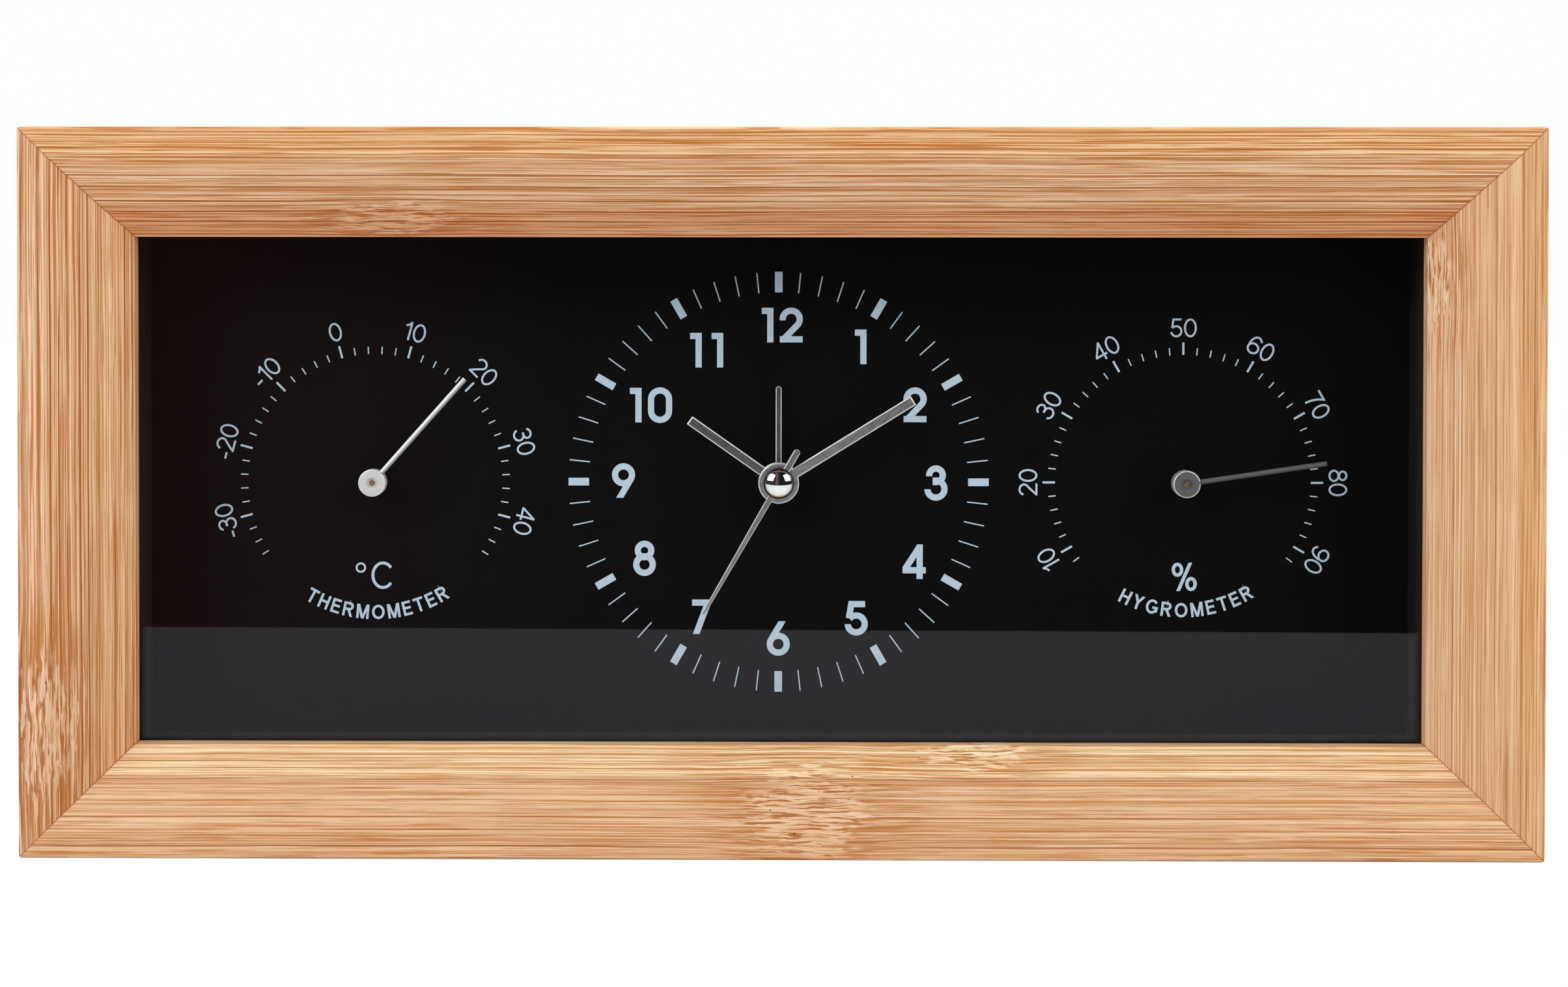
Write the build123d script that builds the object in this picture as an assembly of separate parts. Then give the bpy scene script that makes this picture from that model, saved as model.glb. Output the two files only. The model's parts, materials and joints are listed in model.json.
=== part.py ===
from build123d import *
import math
import os

# A thermometer, alarm clock and hygrometer behind one glass in a mitred wooden frame.
# Millimetres. X runs to the right, Z up, and Y away from the viewer.
# The origin is at the middle of the base. A depth is measured back from the front of the frame,
# a height is measured forward from the dial, and a direction turns to the left from the right.

# Frame
FRAME_WIDTH = 250.0
FRAME_HEIGHT = 120.0
RAIL_FACE = 17.85  # from the outer face to the opening
BAND_WIDTH = 4.5  # flat band along the outer edge
BEVEL_DEPTH = 9.0  # how far the bevel falls to the opening
BEVEL_CROWN = 0.8  # how far the bevel bulges above its chord
LIP_HEIGHT = 3.0  # wall between the bevel and the glass
EDGE_ROUNDING = 0.8
GLASS_REBATE = 5.85  # how far the lip reaches over the glass
PANEL_REBATE = 3.0  # how much wider the rails open for the back panel
BACK_RECESS = 0.4  # from the back of the rails in to the knobs

# Nails that are pressed across the mitres from behind
NAIL_ARM = 4.5
NAIL_GAUGE = 0.6
NAIL_HEIGHT = 10.0
NAIL_INSET = 3.0

# Glass, spacers and dial
GLASS_THICKNESS = 2.0
GLASS_PLAY = 0.3
SPACER_HEIGHT = 11.8
SPACER_SETBACK = 0.25  # how far the spacers stand back from the opening
SHEET_THICKNESS = 0.4
BOARD_THICKNESS = 2.5
BOARD_PLAY = 0.3
HOLE_PLAY = 0.1  # between the dial and what passes through it

# Instruments on the dial
DIAL_RISE = 0.6  # from the middle of the frame up to the three centres
MARK_THICKNESS = 0.1
HOUR_MARKS = 12
MINUTE_MARKS = 60
MARK_MARGIN = 6.25  # from the clock's marks to the opening
MARK_LENGTH = 3.5
BATON_WIDTH = 1.3
TICK_WIDTH = 0.2
SCALE_MARGIN = 11.725  # around each gauge's scale, for its numbers
GAUGE_SHIFT = 2.525  # how far each gauge stands off the middle of its room, toward the clock
LONG_TICK = 2.1
SHORT_TICK = 1.25
LONG_TICK_WIDTH = 0.35
SCALE_STEP = 6.0  # degrees of turn between neighbouring ticks
THERMOMETER_SWING_DEGREES = 123.0  # scale end, from the top
THERMOMETER_FIRST_LONG_DEGREES = 105.0
HYGROMETER_SWING_DEGREES = 126.0
HYGROMETER_FIRST_LONG_DEGREES = 120.0
LONG_TICK_EVERY = 5

# Retainer strips and back panel
RETAINER_DEPTH = 13.8
RETAINER_WIDTH = 6.0
PANEL_THICKNESS = 2.5
PANEL_PLAY = 0.3
PANEL_OPENING_PLAY = 0.5  # around the movement
VENT_WIDTH = 2.0
VENT_LENGTH = 24.0
VENT_SPACING = 6.0
VENT_PLACES = (-2, -1, 0, 1, 2)
PANEL_SCREW_RADIUS = 0.8
PANEL_SCREW_LENGTH = 10.0
PANEL_SCREW_HEAD_RADIUS = 1.3
PANEL_SCREW_HEAD = 0.8
PANEL_SCREW_INSET = 27.0  # from each end of the frame
PANEL_HOLE_PLAY = 0.1

# Movement case
TAPE_THICKNESS = 0.5
TAPE_INSET = 4.0  # from the edges of the case
CASE_CORNER = 3.0
CASE_WALL = 1.5
CASE_FRONT_WALL = 1.2
COVER_THICKNESS = 1.4
TRAIN_ABOVE = 26.5  # from the clock's centre up to the upper wall
TRAIN_FLOOR_GAP = 1.58  # from the alarm wheel down to the battery bay's wall
CASE_SCREW_INSET = 4.5  # from the faces of the case
CASE_SCREW_RISE = 2.9  # from the battery bay's wall up to the lower screws
POST_RADIUS = 2.6
POST_MIDDLE_RADIUS = 1.9
POST_TOP_RADIUS = 1.4
CASE_SCREW_RADIUS = 0.7
CASE_SCREW_LENGTH = 6.0
CASE_SCREW_HEAD_RADIUS = 1.5
CASE_SCREW_HEAD = 0.9
BUSHING_HEIGHT = 1.0
BUSHING_WALL = 0.58
BUSHING_SEAT = 0.5  # ring around the bore inside the case
BUSHING_SEAT_WIDTH = 1.2
PIVOT_SINK = 0.8  # blind bearings in the front wall
PLATE_THICKNESS = 0.8
PLATE_PLAY = 0.2  # between the plates and the case walls
PLATE_HOLE_PLAY = 0.1

# Nested tubes and arbors of the hands
SECOND_ARBOR = 0.5
TUBE_FIT = 0.07  # running clearance between the tubes
CANNON_BORE_FIT = 0.1
CANNON_RADIUS = 1.15
HOUR_TUBE_WALL = 0.53
ALARM_TUBE_WALL = 0.53
TUBE_END = 0.1  # how far each tube stands out of its hand
CANNON_FLANGE = 0.65
CANNON_FLANGE_HEIGHT = 0.3
END_PLAY = 0.1

# Space in front of each wheel and plate, from the front wall of the case back
ALARM_WHEEL_GAP = 0.6
HOUR_WHEEL_GAP = 0.6
MINUTE_WHEEL_GAP = 1.0
MIDDLE_PLATE_GAP = 1.0
CENTRE_WHEEL_GAP = 0.4
THIRD_WHEEL_GAP = 1.0
SECOND_WHEEL_GAP = 0.6
INTERMEDIATE_WHEEL_GAP = 0.6
REAR_PLATE_GAP = 0.5
MOTION_WHEEL = 0.8  # thickness
TRAIN_WHEEL = 0.6  # thickness
PINION_OVERHANG = 0.2

# Wheels: teeth, distances between arbors, and directions between arbors in degrees
CANNON_TEETH = 12
MINUTE_TEETH = 36
MINUTE_PINION_TEETH = 10
HOUR_TEETH = 40
SET_TEETH = 12
ALARM_TEETH = 40
ALARM_PINION_TEETH = 20
TRAIN_PINION_TEETH = 10
THIRD_TEETH = 75
CENTRE_TEETH = 80
SECOND_TEETH = 60
INTERMEDIATE_TEETH = 50
MOTION_MODULE = 0.4  # of the wheels behind the hands
THIRD_DISTANCE = 8.5
INTERMEDIATE_DISTANCE = 8.6
ROTOR_DISTANCE = 6.0
MINUTE_WHEEL_DIRECTION_DEGREES = 50.0
SET_WHEEL_PITCHES = 21.5  # from the clock's side of the minute wheel round to the setting pinion
ALARM_KNOB_DIRECTION_DEGREES = 130.0
THIRD_DIRECTION_DEGREES = 190.0
INTERMEDIATE_DIRECTION_DEGREES = -10.0
ROTOR_DIRECTION_DEGREES = 10.0
ADDENDUM_SHARE = 0.8  # of the module
DEDENDUM_SHARE = 1.2  # of the module
TOOTH_ROOT_SHARE = 0.52  # of the pitch angle
TOOTH_TIP_SHARE = 0.2  # of the pitch angle
TRAIN_ARBOR = 0.4
PIVOT_RADIUS = 0.25
PIVOT_FIT = 0.05
STUD_RADIUS = 0.6  # stud that carries the minute wheel
STUD_TIP = 0.5

# Motor and electrics
MAGNET_RADIUS = 2.1
MAGNET_LENGTH = 2.2
MAGNET_GAP = 0.4
STATOR_PAD = 3.9
STATOR_THICKNESS = 1.0
STATOR_GAP = 0.1  # in front of the second wheel
STATOR_ARM = 2.6
STATOR_DROP = 2.2  # from the rotor down to the lower arm
STATOR_RISE = 17.0  # from the lower arm up to the upper one
COIL_REACH = 7.9  # from the rotor to the coil
STATOR_END = 3.2  # how far the arms reach past the coil's axis
STATOR_POST = 0.8
STATOR_POST_REACH = 2.2
CORE_WIDTH = 2.0
CORE_THICKNESS = 1.0
COIL_RADIUS = 2.9
COIL_PLAY = 0.4
COIL_WALL_GAP = 1.3  # from the coil to the side wall, at least
WINDOW_PLAY = 0.5
BUZZER_RADIUS = 7.0
BUZZER_THICKNESS = 4.5
BUZZER_PLAY = 0.4  # from the side wall
BUZZER_UP = 3.5
CIRCUIT_WIDTH = 18.0
CIRCUIT_HEIGHT = 10.0
CIRCUIT_THICKNESS = 0.8
CIRCUIT_ACROSS = -12.0
CIRCUIT_INSET = 2.2  # from the upper wall
CRYSTAL_RADIUS = 0.6
CRYSTAL_LENGTH = 5.0
CRYSTAL_ACROSS = -6.5
CRYSTAL_DROP = 3.1  # from the middle of the board
CRYSTAL_PLAY = 0.2  # in front of the cover

# Battery, contacts and door
CELL_RADIUS = 7.25
CELL_LENGTH = 49.2
NUB_RADIUS = 2.75
NUB_LENGTH = 1.3
CELL_PLAY = 0.1  # in front of the cell
CELL_BACK_PLAY = 0.3  # behind the cell
BAY_PLAY = 0.3  # above and below the cell
CONTACT_THICKNESS = 0.4
CONTACT_HEIGHT = 9.0
CONTACT_DEPTH = 8.0
MINUS_REACH = 2.1  # from the side wall to the cell
DOOR_PLAY = 0.1
TONGUE_WIDTH = 8.0
TONGUE_SPREAD = 15.0
TONGUE_THICKNESS = 0.9
TONGUE_REACH = 1.4  # under the cover
TONGUE_ROOT = 1.5  # on the door
TONGUE_PLAY = 0.2
GRIP_WIDTH = 14.0
GRIP_HEIGHT = 0.8
GRIP_THICKNESS = 0.4
GRIP_SPACING = 2.2
GRIP_PLACES = (-1, 0, 1)

# Knobs and switch at the back
KNOB_ARBOR = 1.2
KNOB_FIT = 0.08
KNOB_GAP = 0.2
KNOB_HEIGHT = 2.7
TIME_KNOB_RADIUS = 5.0
ALARM_KNOB_RADIUS = 4.0
KNOB_RIDGES = 24
KNOB_RIDGE_DEPTH = 0.5
KNOB_RIDGE_ROOT_SHARE = 0.7
KNOB_RIDGE_TIP_SHARE = 0.35
SWITCH_ACROSS = -15.5
SWITCH_INSET = 6.0  # from the upper wall
SWITCH_BASE_WIDTH = 5.0
SWITCH_BASE_HEIGHT = 3.6
SWITCH_BASE_THICKNESS = 0.9
SWITCH_WIDTH = 2.4
SWITCH_HEIGHT = 2.0
SWITCH_REACH = 1.5  # out of the cover
SWITCH_TRAVEL = 3.0
SWITCH_PLAY = 0.1

# Hands of the clock: the space behind each, sizes, and angles to the right of the top
HAND_THICKNESS = 0.35
ALARM_HAND_GAP = 0.5
HOUR_HAND_GAP = 0.75
MINUTE_HAND_GAP = 0.85
SECOND_HAND_GAP = 0.75
HUB_RADIUS = 3.45
SECOND_HUB_RADIUS = 2.6
SECOND_COLLAR_RADIUS = 0.9
ALARM_HAND_SHORTFALL = 16.0  # from the clock's marks to the tip
ALARM_HAND_WIDTH = 1.0
HOUR_HAND_SHORTFALL = 13.9
HOUR_HAND_WIDTH = 1.6
MINUTE_HAND_SHORTFALL = 5.6
MINUTE_HAND_WIDTH = 1.7
SECOND_HAND_SHORTFALL = 6.8
SECOND_HAND_WIDTH = 1.05
SECOND_TIP_WIDTH = 0.55
SECOND_TAIL_LENGTH = 6.6
SECOND_TAIL_WIDTH = 1.15
HOUR_HAND_ANGLE = 305.1
MINUTE_HAND_ANGLE = 58.3
SECOND_HAND_ANGLE = 210.0
ALARM_HAND_ANGLE = 0.0
CAP_RADIUS = 2.4
CAP_RIM = 0.7
CAP_DOME = 1.6
CAP_BORE = 1.0

# Gauges
BEARING_RADIUS = 2.0
BEARING_HEIGHT = 0.6  # in front of the dial
CUP_FLANGE_WIDTH = 3.0
CUP_FLANGE = 0.6
CUP_RADIUS = 15.0
CUP_WALL = 0.6
CUP_REST = 1.7  # behind the strip
GAUGE_ARBOR = 0.5
GAUGE_FIT = 0.07
ARBOR_END = 0.5  # behind the strip
SHOULDER_RADIUS = 1.1
SHOULDER = 0.6
STRIP_THICKNESS = 0.3
STRIP_WIDTH = 5.0
STRIP_FRONT = 1.5  # behind the cup's flange
STRIP_PITCH = 1.7
STRIP_HALF_TURNS = 12
STRIP_GAP = 0.15  # from the arbor
STRIP_POST_SIZE = 1.4
STRIP_POST_GAP = 0.1
COLLAR_RADIUS = 2.3
COLLAR_HEIGHT = 2.5  # above the dial
COLLAR_LENGTH = 3.0
DIMPLE_RADIUS = 0.9
DIMPLE_DEPTH = 0.3
ARBOR_TIP = 0.15  # how far the arbor stands out of the dimple's floor
POINTER_RISE = 1.7  # from the back of the collar
POINTER_THICKNESS = 0.35
THERMOMETER_POINTER_REACH = 1.8  # past the inner end of the ticks
HYGROMETER_POINTER_REACH = 2.2
POINTER_WIDTH = 0.8
THERMOMETER_ANGLE = 41.7
HYGROMETER_ANGLE = 81.6

# Thickness and depths of the movement that follow from the sizes above
ALARM_LAYER = ALARM_WHEEL_GAP
HOUR_LAYER = ALARM_LAYER + MOTION_WHEEL + HOUR_WHEEL_GAP
MINUTE_LAYER = HOUR_LAYER + MOTION_WHEEL + MINUTE_WHEEL_GAP
MIDDLE_PLATE_LAYER = MINUTE_LAYER + MOTION_WHEEL + MIDDLE_PLATE_GAP
CENTRE_LAYER = MIDDLE_PLATE_LAYER + PLATE_THICKNESS + CENTRE_WHEEL_GAP
THIRD_LAYER = CENTRE_LAYER + TRAIN_WHEEL + THIRD_WHEEL_GAP
SECOND_LAYER = THIRD_LAYER + TRAIN_WHEEL + SECOND_WHEEL_GAP
INTERMEDIATE_LAYER = SECOND_LAYER + TRAIN_WHEEL + INTERMEDIATE_WHEEL_GAP
REAR_PLATE_LAYER = INTERMEDIATE_LAYER + TRAIN_WHEEL + REAR_PLATE_GAP
TRAIN_STACK = REAR_PLATE_LAYER + PLATE_THICKNESS + CIRCUIT_THICKNESS + 2 * CRYSTAL_RADIUS + CRYSTAL_PLAY
CELL_STACK = CELL_PLAY + 2 * CELL_RADIUS + CELL_BACK_PLAY
CASE_INSIDE = max(TRAIN_STACK, CELL_STACK)

# Depths from the front of the frame
GLASS_FRONT = BEVEL_DEPTH + LIP_HEIGHT
GLASS_BACK = GLASS_FRONT + GLASS_THICKNESS
DIAL = GLASS_BACK + SPACER_HEIGHT
SHEET_BACK = DIAL + SHEET_THICKNESS
BOARD_BACK = SHEET_BACK + BOARD_THICKNESS
PANEL_FRONT = BOARD_BACK + RETAINER_DEPTH
PANEL_BACK = PANEL_FRONT + PANEL_THICKNESS
CASE_FRONT = BOARD_BACK + TAPE_THICKNESS
CASE_INNER = CASE_FRONT + CASE_FRONT_WALL
COVER_FRONT = CASE_INNER + CASE_INSIDE
COVER_BACK = COVER_FRONT + COVER_THICKNESS
FRAME_DEPTH = COVER_BACK + KNOB_GAP + KNOB_HEIGHT + BACK_RECESS
MIDDLE_PLATE = CASE_INNER + MIDDLE_PLATE_LAYER
MIDDLE_PLATE_BACK = MIDDLE_PLATE + PLATE_THICKNESS
REAR_PLATE = CASE_INNER + REAR_PLATE_LAYER
REAR_PLATE_BACK = REAR_PLATE + PLATE_THICKNESS
STATOR_BACK = CASE_INNER + SECOND_LAYER - STATOR_GAP
STATOR = STATOR_BACK - STATOR_THICKNESS

# Heights above the dial
ALARM_HAND_HEIGHT = BUSHING_HEIGHT + ALARM_HAND_GAP
HOUR_HAND_HEIGHT = ALARM_HAND_HEIGHT + HAND_THICKNESS + HOUR_HAND_GAP
MINUTE_HAND_HEIGHT = HOUR_HAND_HEIGHT + HAND_THICKNESS + MINUTE_HAND_GAP
SECOND_HAND_HEIGHT = MINUTE_HAND_HEIGHT + HAND_THICKNESS + SECOND_HAND_GAP
POINTER_HEIGHT = COLLAR_HEIGHT + POINTER_RISE

# Frame and dial
CAVITY_WALL = RAIL_FACE - GLASS_REBATE  # wood beside the glass and the dial
BACK_WALL = CAVITY_WALL - PANEL_REBATE  # wood beside the back panel
CAVITY_WIDTH = FRAME_WIDTH - 2 * CAVITY_WALL
CAVITY_HEIGHT = FRAME_HEIGHT - 2 * CAVITY_WALL
MIDDLE_HEIGHT = FRAME_HEIGHT / 2
MARK_OUTER = MIDDLE_HEIGHT - RAIL_FACE - MARK_MARGIN
MARK_INNER = MARK_OUTER - MARK_LENGTH
GAUGE_ROOM = FRAME_WIDTH / 2 - RAIL_FACE - MARK_OUTER  # from the clock's marks to the opening
GAUGE_SPACING = MARK_OUTER + GAUGE_ROOM / 2 - GAUGE_SHIFT
SCALE_OUTER = GAUGE_ROOM / 2 - SCALE_MARGIN
SCALE_INNER = SCALE_OUTER - LONG_TICK
ALARM_HAND_LENGTH = MARK_INNER - ALARM_HAND_SHORTFALL
HOUR_HAND_LENGTH = MARK_INNER - HOUR_HAND_SHORTFALL
MINUTE_HAND_LENGTH = MARK_INNER - MINUTE_HAND_SHORTFALL
SECOND_HAND_LENGTH = MARK_INNER - SECOND_HAND_SHORTFALL
THERMOMETER_POINTER_LENGTH = SCALE_INNER + THERMOMETER_POINTER_REACH
HYGROMETER_POINTER_LENGTH = SCALE_INNER + HYGROMETER_POINTER_REACH
CUP_FLANGE_RADIUS = CUP_RADIUS + CUP_FLANGE_WIDTH
CUP_DEPTH = CUP_FLANGE + STRIP_FRONT + STRIP_WIDTH + CUP_REST
ARBOR_REACH = STRIP_FRONT + STRIP_WIDTH + ARBOR_END

# Places as (X, Z)
CLOCK = (0, MIDDLE_HEIGHT + DIAL_RISE)
THERMOMETER = (CLOCK[0] - GAUGE_SPACING, CLOCK[1])
HYGROMETER = (CLOCK[0] + GAUGE_SPACING, CLOCK[1])


def beside_clock(across, up):
    """A place given from the clock's centre."""
    return (CLOCK[0] + across, CLOCK[1] + up)


def toward(place, distance, direction):
    """The place at a distance in a direction from another place."""
    turn = math.radians(direction)
    return (place[0] + distance * math.cos(turn), place[1] + distance * math.sin(turn))


MOTION_DISTANCE = MOTION_MODULE * (CANNON_TEETH + MINUTE_TEETH) / 2
SET_DISTANCE = MOTION_MODULE * (MINUTE_TEETH + SET_TEETH) / 2
ALARM_DISTANCE = MOTION_MODULE * (ALARM_TEETH + ALARM_PINION_TEETH) / 2
SET_DIRECTION_DEGREES = MINUTE_WHEEL_DIRECTION_DEGREES + 180 + SET_WHEEL_PITCHES * 360 / MINUTE_TEETH
MINUTE_WHEEL_PLACE = toward(CLOCK, MOTION_DISTANCE, MINUTE_WHEEL_DIRECTION_DEGREES)
SET_PLACE = toward(MINUTE_WHEEL_PLACE, SET_DISTANCE, SET_DIRECTION_DEGREES)
ALARM_PLACE = toward(CLOCK, ALARM_DISTANCE, ALARM_KNOB_DIRECTION_DEGREES)
THIRD_PLACE = toward(CLOCK, THIRD_DISTANCE, THIRD_DIRECTION_DEGREES)
INTERMEDIATE_PLACE = toward(CLOCK, INTERMEDIATE_DISTANCE, INTERMEDIATE_DIRECTION_DEGREES)
ROTOR_PLACE = toward(INTERMEDIATE_PLACE, ROTOR_DISTANCE, ROTOR_DIRECTION_DEGREES)
LOWER_ARM = ROTOR_PLACE[1] - STATOR_DROP
UPPER_ARM = LOWER_ARM + STATOR_RISE
COIL_X = ROTOR_PLACE[0] + COIL_REACH
COIL_Z = (LOWER_ARM + UPPER_ARM) / 2

# The case around the clock's centre: half its width inside, and heights from the centre
BAY_LENGTH = MINUS_REACH + CELL_LENGTH + NUB_LENGTH + CONTACT_THICKNESS
BAY_HEIGHT = 2 * (CELL_RADIUS + BAY_PLAY)
INSIDE_HALF = max(BAY_LENGTH / 2, COIL_X - CLOCK[0] + COIL_RADIUS + COIL_WALL_GAP)
CASE_HALF = INSIDE_HALF + CASE_WALL
CASE_TOP = TRAIN_ABOVE + CASE_WALL
TRAIN_FLOOR = -MOTION_MODULE * (ALARM_TEETH / 2 + ADDENDUM_SHARE) - TRAIN_FLOOR_GAP
BAY_TOP = TRAIN_FLOOR - CASE_WALL
BAY_MIDDLE = BAY_TOP - BAY_HEIGHT / 2
CASE_BOTTOM = BAY_TOP - BAY_HEIGHT - CASE_WALL
COVER_EDGE = TRAIN_FLOOR - DOOR_PLAY - CASE_WALL / 2
CASE_SCREW_PLACES = [
    beside_clock(side * (CASE_HALF - CASE_SCREW_INSET), up)
    for side in (-1, 1)
    for up in (TRAIN_FLOOR + CASE_SCREW_RISE, CASE_TOP - CASE_SCREW_INSET)
]
CIRCUIT_UP = TRAIN_ABOVE - CIRCUIT_INSET - CIRCUIT_HEIGHT / 2
CRYSTAL_UP = CIRCUIT_UP - CRYSTAL_DROP
SWITCH_UP = TRAIN_ABOVE - SWITCH_INSET

# Bore and outer radius of each nested tube
CANNON_BORE = SECOND_ARBOR + CANNON_BORE_FIT
HOUR_TUBE_BORE = CANNON_RADIUS + TUBE_FIT
HOUR_TUBE_RADIUS = HOUR_TUBE_BORE + HOUR_TUBE_WALL
ALARM_TUBE_BORE = HOUR_TUBE_RADIUS + TUBE_FIT
ALARM_TUBE_RADIUS = ALARM_TUBE_BORE + ALARM_TUBE_WALL
BUSHING_BORE = ALARM_TUBE_RADIUS + TUBE_FIT
BUSHING_RADIUS = BUSHING_BORE + BUSHING_WALL


def facing(depth):
    """The plane that faces the viewer at a depth."""
    return Plane(origin=(0, depth - FRAME_DEPTH / 2, 0), x_dir=(1, 0, 0), z_dir=(0, -1, 0))


def plate(outline, front, back):
    """The solid with this front view between two depths."""
    return extrude(facing(back) * outline, back - front)


def disc(place, radius, front, back):
    """A round plate or rod."""
    return plate(Pos(*place) * Circle(radius), front, back)


def ring(place, radius, bore, front, back):
    """A round plate or tube with a bore."""
    return plate(Pos(*place) * (Circle(radius) - Circle(bore)), front, back)


def block(place, width, height, front, back):
    """A rectangular plate."""
    return plate(Pos(*place) * Rectangle(width, height), front, back)


def turned(place, section):
    """A section of radius and depth, turned about the line of sight through a place."""
    plane = Plane(origin=(place[0], -FRAME_DEPTH / 2, place[1]), x_dir=(1, 0, 0), z_dir=(0, 0, 1))
    return revolve(plane * section, Axis((place[0], 0, place[1]), (0, 1, 0)))


def toothed(teeth, tip, root, tip_share, root_share, tooth_direction):
    """The outline of a toothed wheel, with a tooth in a given direction."""
    pitch = 2 * math.pi / teeth
    first = math.radians(tooth_direction)
    points = []
    for tooth in range(teeth):
        middle = first + tooth * pitch
        corners = ((root, -root_share), (tip, -tip_share), (tip, tip_share), (root, root_share))
        for radius, share in corners:
            turn = middle + share * pitch / 2
            points.append((radius * math.cos(turn), radius * math.sin(turn)))
    return Polygon(*points)


def gear(place, teeth, module, tooth_direction, front, back):
    """A spur wheel that has a tooth in a given direction."""
    tip = module * (teeth / 2 + ADDENDUM_SHARE)
    root = module * (teeth / 2 - DEDENDUM_SHARE)
    outline = toothed(teeth, tip, root, TOOTH_TIP_SHARE, TOOTH_ROOT_SHARE, tooth_direction)
    return plate(Pos(*place) * outline, front, back)


def gap_at(teeth, direction):
    """The tooth direction that leaves a gap in the direction asked for."""
    return direction + 180 / teeth


def pair_module(distance, teeth, other_teeth):
    """The module of two wheels that mesh at this distance."""
    return 2 * distance / (teeth + other_teeth)


# Frame
def rail_section():
    """A rail's section, from its outer face inward and from its front back."""
    chord = math.hypot(RAIL_FACE - BAND_WIDTH, BEVEL_DEPTH)
    crown_in = (RAIL_FACE + BAND_WIDTH) / 2 + BEVEL_CROWN * BEVEL_DEPTH / chord
    crown_depth = BEVEL_DEPTH / 2 - BEVEL_CROWN * (RAIL_FACE - BAND_WIDTH) / chord
    corner = EDGE_ROUNDING * (1 - math.sqrt(1 / 2))
    outline = [
        ThreePointArc((0, EDGE_ROUNDING), (corner, corner), (EDGE_ROUNDING, 0)),
        Line((EDGE_ROUNDING, 0), (BAND_WIDTH, 0)),
        ThreePointArc((BAND_WIDTH, 0), (crown_in, crown_depth), (RAIL_FACE, BEVEL_DEPTH)),
        Polyline(
            (RAIL_FACE, BEVEL_DEPTH),
            (RAIL_FACE, GLASS_FRONT),
            (CAVITY_WALL, GLASS_FRONT),
            (CAVITY_WALL, PANEL_FRONT),
            (BACK_WALL, PANEL_FRONT),
            (BACK_WALL, FRAME_DEPTH),
            (0, FRAME_DEPTH),
            (0, EDGE_ROUNDING),
        ),
    ]
    return make_face(outline)


def rail(length, reach, turn):
    """A mitred rail, made above the frame's middle and turned to its side."""
    half = length / 2
    start = Plane(origin=(-half, -FRAME_DEPTH / 2, reach), x_dir=(0, 0, -1), z_dir=(1, 0, 0))
    bar = extrude(start * rail_section(), length)
    inner = reach - RAIL_FACE
    mitres = Polygon((-half, reach), (-half + RAIL_FACE, inner), (half - RAIL_FACE, inner), (half, reach))
    outline = mitres & RectangleRounded(length, 2 * reach, EDGE_ROUNDING)
    mitred = bar & plate(outline, 0, FRAME_DEPTH)
    return Pos(0, 0, MIDDLE_HEIGHT) * Rot(0, turn, 0) * mitred


def corner_nails():
    """Angled nails, one across each mitre, flush with the back."""
    outline = Sketch()
    for side in (-1, 1):
        for end in (-1, 1):
            x = side * (FRAME_WIDTH / 2 - NAIL_INSET)
            z = MIDDLE_HEIGHT + end * (FRAME_HEIGHT / 2 - NAIL_INSET)
            shift = (NAIL_ARM - NAIL_GAUGE) / 2
            outline += Pos(x - side * shift, z) * Rectangle(NAIL_ARM, NAIL_GAUGE)
            outline += Pos(x, z - end * shift) * Rectangle(NAIL_GAUGE, NAIL_ARM)
    return plate(outline, FRAME_DEPTH - NAIL_HEIGHT, FRAME_DEPTH)


def panel_screw_places():
    """Where the screws of the back panel stand, over the ledge of the top and bottom rails."""
    inset = (CAVITY_WALL + BACK_WALL) / 2
    return [
        (across * (FRAME_WIDTH / 2 - PANEL_SCREW_INSET), MIDDLE_HEIGHT + end * (FRAME_HEIGHT / 2 - inset))
        for across in (-1, 0, 1)
        for end in (-1, 1)
    ]


def panel_screws():
    """Screws with flat round heads on the back panel."""
    screws = Part()
    for place in panel_screw_places():
        shank = disc(place, PANEL_SCREW_RADIUS, PANEL_FRONT - PANEL_SCREW_LENGTH, PANEL_BACK)
        head = disc(place, PANEL_SCREW_HEAD_RADIUS, PANEL_BACK, PANEL_BACK + PANEL_SCREW_HEAD)
        screws += shank + head
    return screws


def front_glass():
    """The pane behind the lip."""
    outline = Rectangle(CAVITY_WIDTH - 2 * GLASS_PLAY, CAVITY_HEIGHT - 2 * GLASS_PLAY)
    return plate(Pos(0, MIDDLE_HEIGHT) * outline, GLASS_FRONT, GLASS_BACK)


SPACER_WIDTH = RAIL_FACE - CAVITY_WALL - SPACER_SETBACK


def level_spacer(end):
    """The spacer along the top or the bottom of the cavity."""
    place = (0, MIDDLE_HEIGHT + end * (CAVITY_HEIGHT - SPACER_WIDTH) / 2)
    return block(place, CAVITY_WIDTH, SPACER_WIDTH, GLASS_BACK, DIAL)


def upright_spacer(side):
    """The spacer along one end of the cavity, between the other two."""
    place = (side * (CAVITY_WIDTH - SPACER_WIDTH) / 2, MIDDLE_HEIGHT)
    return block(place, SPACER_WIDTH, CAVITY_HEIGHT - 2 * SPACER_WIDTH, GLASS_BACK, DIAL)


def dial_outline():
    """The dial, with holes for the clock's bushing and the bearings of the gauges."""
    width = CAVITY_WIDTH - 2 * BOARD_PLAY
    height = CAVITY_HEIGHT - 2 * BOARD_PLAY
    outline = Pos(0, MIDDLE_HEIGHT) * Rectangle(width, height)
    outline -= Pos(*CLOCK) * Circle(BUSHING_RADIUS + HOLE_PLAY)
    for place in (THERMOMETER, HYGROMETER):
        outline -= Pos(*place) * Circle(BEARING_RADIUS + HOLE_PLAY)
    return outline


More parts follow.
